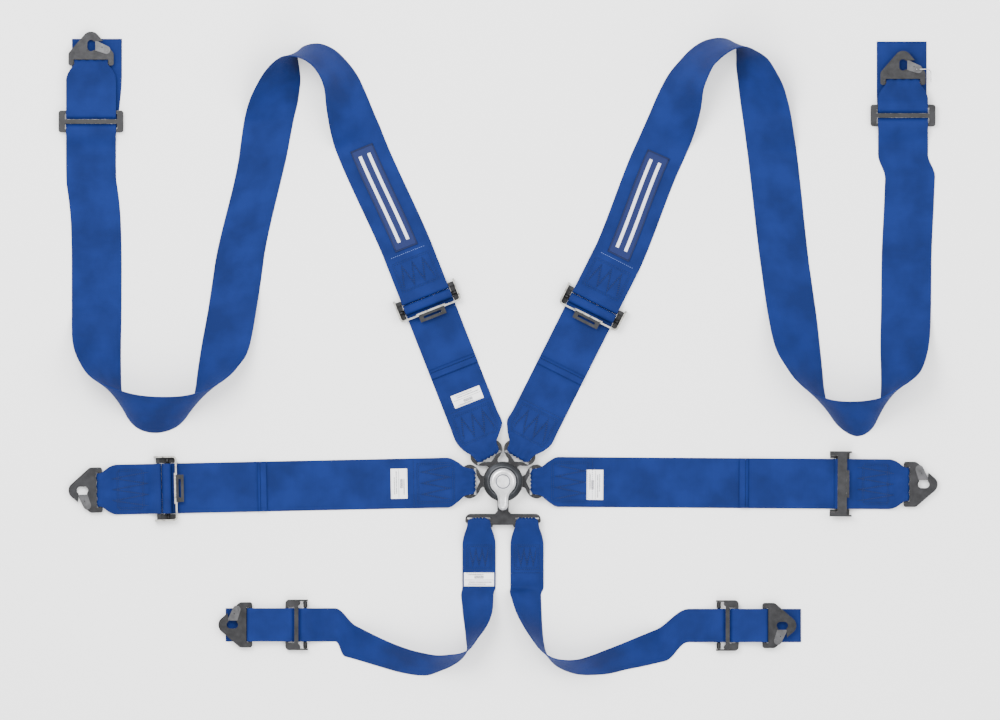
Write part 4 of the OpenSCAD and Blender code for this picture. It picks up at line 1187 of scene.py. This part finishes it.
@dataclass
class ShoulderStraps:
    """The two shoulder straps, with their patches and labels.

    Attributes:
        finishes: the materials.
        routes: the runs.
        inner_box: start and end of the sewn box beside the tongue, from the strap's root.
        inner_row: place of the row of stitches past it.
        outer_box: start and end of the sewn box beyond the adjuster, from its rear bar.
        outer_row: place of the pale row past it, and how far it reaches from the middle.
        label: the left label's place, shift across, length and width.
        patch_gap: distance from the pale row to the patch.
        patch_w: the patch's width across the strap.
        patch_l: its length along the strap.
    """

    finishes: Finishes
    routes: Routes
    inner_box: Row = (30, 76)
    inner_row: float = 80
    outer_box: Row = (17, 62)
    outer_row: Row = (72, 28)
    label: Row = (97, -3, 46, 20)
    patch_gap: float = 6
    patch_w: float = 36
    patch_l: float = 166

    def strap(self, side: Side, kind: str, edges: np.ndarray, held: str) -> Strap:
        """One run of a shoulder strap, ready for its sewing."""
        way = self.routes
        return Strap(f"shoulder_{side.word}_{kind}_webbing", edges, way.wide, self.finishes,
                     way.shoulder_root(side), way.shoulder_heading[side.value], held)

    def inner(self, side: Side) -> None:
        """The run from the buckle to the adjuster, with its pull end."""
        way, i = self.routes, side.value
        heading = way.shoulder_heading[i]
        rows = [*way.tongue_end(0, way.wide, way.tongue_pinch, way.shoulder_belt[i] - heading),
                *way.roller_end(way.shoulder_inner, way.wide, way.shoulder_tail)]
        strap = self.strap(side, "inner", way.upright(way.shoulder_root(side), heading, 1, rows),
                           "laid")
        strap.box(*self.inner_box)
        strap.seam(self.inner_row)
        strap.hem(way.shoulder_inner - way.shoulder_tail)
        if side is Side.LEFT:
            strap.extras += strap.sewing.label("shoulder_left_label", strap.at(self.label[0]),
                                               *self.label[1:])
        strap.build()

    def outer(self, side: Side) -> None:
        """The long run from the adjuster through both folds to the hook."""
        way, i, flip = self.routes, side.value, side.flip
        start = way.shoulder_inner + way.rear_gap
        hook = way.shoulder_hook[i]
        strap = self.strap(side, "outer", np.concatenate([
            way.upright(way.shoulder_root(side), way.shoulder_heading[i], flip,
                        way.rear_end(start, way.wide)),
            way.standing(TOP_FOLD[side], way.wide, False),
            way.standing(BOTTOM_FOLD[side], way.wide, True),
            way.upright((hook[0], 0), 90, -flip,
                        way.wrap_end(way.shoulder_slide[i], hook[1], way.shoulder_end[i],
                                     way.wide, way.hook_pinch,
                                     flip * way.shoulder_shift[i]))]), "folded")
        strap.box(*(start + place for place in self.outer_box))
        seam, reach = strap.at(start + self.outer_row[0]), self.outer_row[1]
        pale = Sewing(strap.strip, strap.node, self.finishes, thread=0.25)
        pale.line((seam, -reach), (seam, reach))
        strap.extras.append(pale.sew(f"{strap.node}_seam", self.finishes.pale_thread))
        self.patch(side, strap, seam + self.patch_gap)
        strap.build()

    def patch(self, side: Side, strap: Strap, start: float) -> None:
        """Sews on a navy patch with plain white stripes.

        The rims and stripes are bands of the patch: start, end, and their two edges.
        """
        node = f"shoulder_{side.word}_patch"
        half, length, base = self.patch_w / 2, self.patch_l, strap.strip.thick / 2
        fin = self.finishes
        cloth = strap.strip.piece(start, start + length, -half, half, base + 0.6, 0.8)
        patch = cloth.build(f"{node}_cloth", fin.patch, node)
        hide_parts(node)
        rims = [(2.0, length - 2.0, half - 2.2, half), (2.0, length - 2.0, -half, 2.2 - half),
                (0.0, 2.4, -half, half), (length - 2.4, length, -half, half)]
        stripes = [(12.0, length - 12.0, 4.5, 9.5), (12.0, length - 12.0, -9.5, -4.5)]
        for kind, material, parts, lift in (("rim", fin.border, rims, 1.0),
                                            ("stripe", fin.stripe, stripes, 1.1)):
            for k, (v0, v1, u0, u1) in enumerate(parts):
                band = strap.strip.piece(start + v0, start + v1, u0, u1, base + lift, 0.7)
                strap.extras.append(band.build(f"{node}_{kind}_{k}", material, node, 8))
        strap.extras.append(patch)

    def build(self) -> None:
        """Builds both sides."""
        for side in Side:
            self.inner(side)
            self.outer(side)


@dataclass
class CrotchStraps:
    """The two crotch straps, which share a tongue and turn over half way.

    Attributes:
        finishes: the materials.
        routes: the runs.
        heading: the direction in which they leave the tongue.
        box: start and end of the sewn box below the spindle, and its reach to each side.
        row: place of the row of stitches past it, and its reach to each side.
        label: the left label's place, shift across, length and width.
    """

    finishes: Finishes
    routes: Routes
    heading: float = 270
    box: Row = (95, 132, 19)
    row: Row = (138, 22)
    label: Row = (151, 0, 45, 21)

    def build(self) -> None:
        """Builds both sides."""
        way = self.routes
        for side in Side:
            i, flip = side.value, side.flip
            hook, root = way.crotch_hook[i], (way.crotch_side * flip, 0)
            edges = np.concatenate([
                way.upright(root, self.heading, flip,
                            way.tongue_end(way.crotch_bar, way.narrow, way.crotch_pinch, 0)),
                way.standing(CROTCH_TWIST[side], way.narrow, False),
                way.upright((0, hook[1]), OUTWARDS[i], -flip,
                            way.wrap_end(way.crotch_slide[i], abs(hook[0]),
                                         way.crotch_end[i], way.narrow,
                                         min(way.narrow, way.hook_pinch), 0))])
            strap = Strap(f"crotch_{side.word}_webbing", edges, way.narrow, self.finishes,
                          root, self.heading, pleat=0.7)
            strap.box(*self.box)
            strap.seam(*self.row)
            if side is Side.LEFT:
                strap.extras += strap.sewing.label(
                    "crotch_left_label", strap.at(self.label[0]), *self.label[1:])
            strap.build()


# ------------------------------------------------------------------------------- fittings
@dataclass(frozen=True)
class Place:
    """A fitting's own axes: +X along its strap, away from the buckle."""

    x: float
    y: float
    heading: float

    @classmethod
    def along(cls, root: Point, heading: float, distance: float) -> Place:
        """The place at a distance from root along a heading."""
        turn = math.radians(heading)
        return cls(root[0] + distance * math.cos(turn), root[1] + distance * math.sin(turn),
                   heading)

    def world(self, points: np.ndarray) -> np.ndarray:
        """Points of the fitting in the harness's frame."""
        turn = math.radians(self.heading)
        c, s = math.cos(turn), math.sin(turn)
        spin = np.array([[c, s, 0], [-s, c, 0], [0, 0, 1]])
        return points @ spin + np.array([self.x, self.y, 0])

    def ahead(self, points: np.ndarray) -> np.ndarray:
        """How far points lie along the fitting's own +X."""
        turn = math.radians(self.heading)
        return (points[:, 0] - self.x) * math.cos(turn) + (points[:, 1] - self.y) * math.sin(turn)


@dataclass
class KnurledBar:
    """A bar turned from rod: its middle is knurled in crossing helices.

    Attributes:
        node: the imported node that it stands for.
        place: its frame's axes.
        height: its axis above the floor.
        steps: from its middle out: reach, radius and whether it is knurled.
        finishes: the materials.
        deep: the knurl's depth.
        turns: grooves round it, each way.
        lead: how far a groove runs along the bar as it turns one radian.
        knurl_rings: rings of a knurled stretch.
        plain_rings: rings of a plain one.
    """

    node: str
    place: Place
    height: float
    steps: tuple[tuple[float, float, bool], ...]
    finishes: Finishes
    deep: float = 0.28
    turns: int = 28
    lead: float = 3.2
    knurl_rings: int = 60
    plain_rings: int = 3

    def build(self) -> None:
        """Makes the bar: the radius along it is a stepped profile, less a cross knurl.

        The knurl at angle a and distance y is deep times the smaller of the absolute sines
        of (turns a + k y) and (turns a - k y), over two.
        """
        y, radius, rough = [], [], []
        for start, end, r, knurl in self.spans():
            count = self.knurl_rings if knurl else self.plain_rings
            y += list(np.linspace(start, end, count))
            radius += [r] * count
            rough += [0.0] + [float(knurl)] * (count - 2) + [0.0]
        across, size, mask = (np.array(v)[:, None] for v in (y, radius, rough))
        angle = np.linspace(0, 2 * math.pi, 4 * self.turns, endpoint=False)[None]
        pitch = self.turns / 2 / self.lead
        one = np.abs(np.sin(self.turns / 2 * angle + pitch * across))
        two = np.abs(np.sin(self.turns / 2 * angle - pitch * across))
        r = size - mask * self.deep * (1 - np.minimum(one, two))
        x, z = r * np.cos(angle), r * np.sin(angle) + self.height
        rings = np.stack([x, across + 0 * x, z], -1)
        shape = rings.shape
        rings = self.place.world(rings.reshape(-1, 3)).reshape(shape)
        piece = ring_mesh(f"{self.node}_turned", rings, self.finishes.grey, self.node)
        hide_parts(self.node)

    def spans(self) -> list[tuple[float, float, float, bool]]:
        """The bar's stretches from one end to the other: start, end, radius, knurled."""
        out = []
        for k in range(len(self.steps) - 1, -1, -1):
            reach, r, knurl = self.steps[k]
            inner = self.steps[k - 1][0] if k else 0.0
            out.append((-reach, -inner, r, knurl))
        mirrored = [(-b, -a, r, knurl) for a, b, r, knurl in reversed(out)]
        first = out[:-1] + [(out[-1][0], mirrored[0][1], out[-1][2], out[-1][3])]
        return first + mirrored[1:]


@dataclass
class Fittings:
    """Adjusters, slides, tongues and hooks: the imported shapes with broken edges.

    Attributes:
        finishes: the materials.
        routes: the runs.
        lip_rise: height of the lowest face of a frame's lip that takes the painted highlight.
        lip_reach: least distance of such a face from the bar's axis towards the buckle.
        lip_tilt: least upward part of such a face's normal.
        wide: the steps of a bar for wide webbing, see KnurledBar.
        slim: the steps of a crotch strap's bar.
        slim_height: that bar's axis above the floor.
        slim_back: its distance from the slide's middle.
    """

    finishes: Finishes
    routes: Routes
    lip_rise: float = 11.6
    lip_reach: float = 6
    lip_tilt: float = 0.3
    wide: tuple[tuple[float, float, bool], ...] = ((38.3, 4.0, True), (48.6, 2.4, False))
    slim: tuple[tuple[float, float, bool], ...] = (
        (26.4, 2.2, False), (35.2, 3.2, True), (37.7, 1.6, False))
    slim_height: float = 5.75
    slim_back: float = 13.5

    def lip(self, place: Place) -> Chooser:
        """Picks the upward faces at the top of a frame's front lip, for a painted highlight."""
        def rubbed(centres: np.ndarray, normals: np.ndarray) -> np.ndarray:
            """True for the faces that are high, face up and lie at the front."""
            return ((normals[:, 2] > self.lip_tilt) & (centres[:, 2] > self.lip_rise)
                    & (place.ahead(centres) < -self.lip_reach))
        return rubbed

    def adjusters(self) -> None:
        """Frames in black steel with worn edges and a painted highlight on the lip, with their
        knurled bars.
        """
        fin, way = self.finishes, self.routes
        height = way.layer(0) + way.roller_turn
        for side in Side:
            i, word = side.value, side.word
            lap = Place.along((0, 0), way.lap_heading[i], way.lap_inner)
            shoulder = Place.along(way.shoulder_root(side), way.shoulder_heading[i],
                                   way.shoulder_inner)
            crotch = Place(side.flip * (way.crotch_slide[i] - self.slim_back),
                           way.crotch_hook[i][1], OUTWARDS[i])
            for name, place, z, steps in (("lap", lap, height, self.wide),
                                          ("shoulder", shoulder, height, self.wide),
                                          ("crotch", crotch, self.slim_height, self.slim)):
                # Lap and shoulder frames get a painted highlight on the top of their lip.
                machined(f"{name}_{word}_adjuster", fin.black, fin.black_edge, 0.5,
                         rubbed=(self.lip(place), fin.rubbed) if name != "crotch" else None)
                KnurledBar(f"{name}_{word}_adjuster_bar", place, z, steps, fin).build()
            machined(f"shoulder_{word}_slide", fin.black, fin.black_edge, 0.4)

    def tongues(self) -> None:
        """Tongues in dark grey steel."""
        fin = self.finishes
        for side in Side:
            for kind in ("lap", "shoulder"):
                machined(f"tongue_{kind}_{side.word}", fin.grey, fin.grey_edge, 0.45)
        machined("tongue_crotch", fin.grey, fin.grey_edge, 0.45)

    def hooks(self) -> None:
        """Snap hooks with their gates and rivets, and the wire clip of one of them."""
        fin = self.finishes
        for side in Side:
            for kind in ("lap", "shoulder", "crotch"):
                name = f"{kind}_{side.word}"
                machined(f"{name}_hook", fin.grey, fin.grey_edge, 0.7)
                machined(f"{name}_gate", fin.gate, fin.gate, 0.35)
                machined(f"{name}_gate_pin", fin.gate, fin.gate, 0.4)
        machined("shoulder_right_clip", fin.bright, fin.bright, 0.15)

    def build(self) -> None:
        """Builds every fitting."""
        self.adjusters()
        self.tongues()
        self.hooks()
        LOG.info("fittings done")


@dataclass
class Buckle:
    """The rotary buckle: black rim, dark cover and a satin lever with a round badge.

    Attributes:
        finishes: the materials.
        disc: the lever's disc radius.
        thick: the lever's thickness.
        neck: half outline of the lever from its disc to its tip, x and y.
        bevels: the lever's bevels, from its underside up: inset and depth below its top.
        ring: inner and outer radius of the dark ring round the badge.
        segments: sides of a piece turned about the spindle.
    """

    finishes: Finishes
    disc: float = 19.5
    thick: float = 5.5
    neck: tuple[tuple[float, float], ...] = (
        (13.3, -14.26), (11.4, -16.6), (9.6, -19), (8.3, -21.8), (7.6, -25.5), (7.3, -31),
        (7.1, -36), (6.3, -39.4), (4.4, -41.8), (2.0, -42.8), (0, -43))
    bevels: tuple[tuple[float, float], ...] = (
        (0.4, 5.5), (0, 5.1), (0, 3.3), (0.25, 2.9), (2.7, 0.75), (3.2, 0.5), (4.6, 0.12),
        (5.0, 0.08))
    ring: tuple[float, float] = (9.5, 10.8)
    segments: int = 96

    def outline(self) -> np.ndarray:
        """The lever's closed outline, from its disc's top round to the left.

        An arc of the disc, then a Catmull-Rom curve through the neck's points, mirrored.
        """
        low = math.atan2(self.neck[0][1], self.neck[0][0])
        angle = np.linspace(math.pi / 2, low, 42, endpoint=False)
        arc = self.disc * np.stack([np.cos(angle), np.sin(angle)], 1)
        right = np.vstack([arc, catmull_rom(np.array(self.neck), 4)])
        left = right[1:-1][::-1] * np.array([-1, 1])
        return np.vstack([right, left])

    def lever(self, top: float) -> None:
        """Makes the lever: its outline drawn inwards along its normals, bevel by bevel."""
        edge = self.outline()
        ahead = unit(np.roll(edge, -1, axis=0) - np.roll(edge, 1, axis=0))
        inward = np.column_stack([ahead[:, 1], -ahead[:, 0]])
        steps = np.array(self.bevels)
        plan = edge[None] + inward[None] * steps[:, :1, None]
        high = np.broadcast_to((top - steps[:, 1])[:, None, None], (*plan.shape[:2], 1))
        piece = ring_mesh("lever_forged", np.concatenate([plan, high], 2),
                          self.finishes.lever, "lever")
        piece.data.polygons.foreach_set("use_smooth", np.zeros(len(piece.data.polygons), bool))
        bevel = piece.modifiers.new("broken_edges", "BEVEL")
        bevel.width, bevel.segments, bevel.limit_method = 0.3 * MM, 2, "ANGLE"
        bevel.angle_limit = math.radians(18)
        bevel.harden_normals = False
        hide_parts("lever")

    def turned(self, name: str, profile: list[Row], material: bpy.types.Material,
               closed: bool) -> None:
        """Turns a piece about the spindle: radius and height rows carried round a circle.

        Args:
            name: the piece's name.
            profile: its rows of radius and height.
            material: the finish.
            closed: whether the profile is a loop, as a ring's is.
        """
        angle = np.linspace(0, 2 * math.pi, self.segments, endpoint=False)
        table = np.array(profile)
        high = np.broadcast_to(table[:, 1:], (len(table), self.segments))
        rings = np.stack([table[:, :1] * np.cos(angle), table[:, :1] * np.sin(angle), high], -1)
        if not closed:
            ring_mesh(name, rings, material, "lever")
            return
        points = rings.reshape(-1, 3)
        faces = outward(points, grid_faces(len(table), self.segments, True, True))
        add_mesh(name, points, faces.tolist(), material, "lever", smooth=False)

    def build(self) -> None:
        """Dresses the buckle's pieces."""
        fin = self.finishes
        machined("housing", fin.black, fin.black_edge, 0.3)
        machined("back_plate", fin.black, fin.black_edge, 0.4)
        machined("cover", fin.cover, fin.cover_edge, 0.35, 12)
        machined("lever_badge", fin.badge, fin.lever, 0.2)
        for node in ("cam", "latch_springs", "return_spring", "cover_screws"):
            machined(node, fin.bright, fin.bright, 0.15)
        low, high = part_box("lever")
        base, top = low[2] / MM, high[2] / MM
        self.lever(top)
        self.turned("lever_spindle", [(4, base), (4, base + 4), (6, base + 4),
                                      (6, top - self.thick + 0.4)], fin.bright, False)
        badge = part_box("lever_badge")[1][2] / MM
        inner, outer = self.ring
        self.turned("badge_ring", [(inner, badge - 0.2), (inner, badge + 0.12),
                                   (outer, badge + 0.12), (outer, badge - 0.2)],
                    fin.dark_ring, True)
        LOG.info("buckle done")


# --------------------------------------------------------------------------------- studio
@dataclass(frozen=True)
class Studio:
    """A pale floor, soft lights overhead and a camera that looks straight down.

    Sizes and places here are in metres.

    Attributes:
        finishes: the materials.
        view_width: width of what the camera sees.
        camera_height: its height over the floor.
        aim: the point that the camera and the lights look at.
        floor_drop: height of the floor's middle.
        floor_half: half the floor's side.
        floor_lines: points along a side.
        floor_flat: radius inside which it is flat.
        floor_fall: how fast it sinks beyond that.
        lamps: each light's name, place, side and watts.
        sky: strength of the even light all round.
    """

    finishes: Finishes
    view_width: float = 1.5
    camera_height: float = 3.0
    aim: Point = (-0.0045, 0.18225)
    floor_drop: float = -0.0003
    floor_half: float = 2.5
    floor_lines: int = 41
    floor_flat: float = 1.8
    floor_fall: float = 0.02
    lamps: tuple[tuple[str, tuple[float, float, float], float, float], ...] = (
        ("key", (-1.1, 1.3, 2.4), 1.6, 105), ("fill", (1.4, 0.6, 2.2), 1.8, 44),
        ("front", (0.1, -1.6, 2.0), 1.6, 30))
    sky: float = 1.7

    def floor(self) -> None:
        """Lays the backdrop paper, a wide grid that sinks away slightly at its rim."""
        line = np.linspace(-self.floor_half, self.floor_half, self.floor_lines)
        x, y = np.meshgrid(line, line, indexing="ij")
        far = np.clip(np.hypot(x, y) - self.floor_flat, 0, None)
        points = np.stack([x, y, self.floor_drop - self.floor_fall * far ** 2], -1)
        faces = grid_faces(self.floor_lines, self.floor_lines, False)
        mesh = bpy.data.meshes.new("floor")
        mesh.from_pydata(points.reshape(-1, 3).tolist(), [], faces.tolist())
        mesh.materials.append(self.finishes.paper)
        floor = bpy.data.objects.new("floor", mesh)
        bpy.context.scene.collection.objects.link(floor)

    def light(self, name: str, place: tuple[float, float, float], size: float,
              watts: float) -> None:
        """Hangs a square soft light at place, aimed at the middle of the harness."""
        lamp = bpy.data.lights.new(name, "AREA")
        lamp.shape, lamp.size, lamp.energy = "SQUARE", size, watts
        holder = bpy.data.objects.new(name, lamp)
        holder.location = place
        x, y, z = (place[0] - self.aim[0], place[1] - self.aim[1], place[2])
        holder.rotation_euler = (math.atan2(math.hypot(x, y), z), 0,
                                 math.atan2(x, -y) if (x or y) else 0)
        bpy.context.scene.collection.objects.link(holder)

    def camera(self) -> None:
        """Sets the camera straight above, square to the harness."""
        lens = bpy.data.cameras.new("camera")
        lens.type = "ORTHO"
        lens.ortho_scale = self.view_width
        lens.clip_end = 20
        holder = bpy.data.objects.new("camera", lens)
        holder.location = (*self.aim, self.camera_height)
        bpy.context.scene.collection.objects.link(holder)
        bpy.context.scene.camera = holder

    def build(self) -> None:
        """Builds floor, lights, camera and the even light all round."""
        self.floor()
        self.camera()
        for lamp in self.lamps:
            self.light(*lamp)
        world = bpy.data.worlds.new("studio")
        world.use_nodes = True
        sky = world.node_tree.nodes["Background"]
        sky.inputs["Color"].default_value = (1, 1, 1, 1)
        sky.inputs["Strength"].default_value = self.sky
        bpy.context.scene.world = world


def main() -> None:
    """Builds the harness in order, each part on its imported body."""
    logging.basicConfig(level=logging.INFO, format="%(name)s: %(message)s")
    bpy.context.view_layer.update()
    finishes, routes = Finishes(), Routes()
    Studio(finishes).build()
    LapStraps(finishes, routes).build()
    ShoulderStraps(finishes, routes).build()
    CrotchStraps(finishes, routes).build()
    Fittings(finishes, routes).build()
    Buckle(finishes).build()


if __name__ == "__main__":
    main()
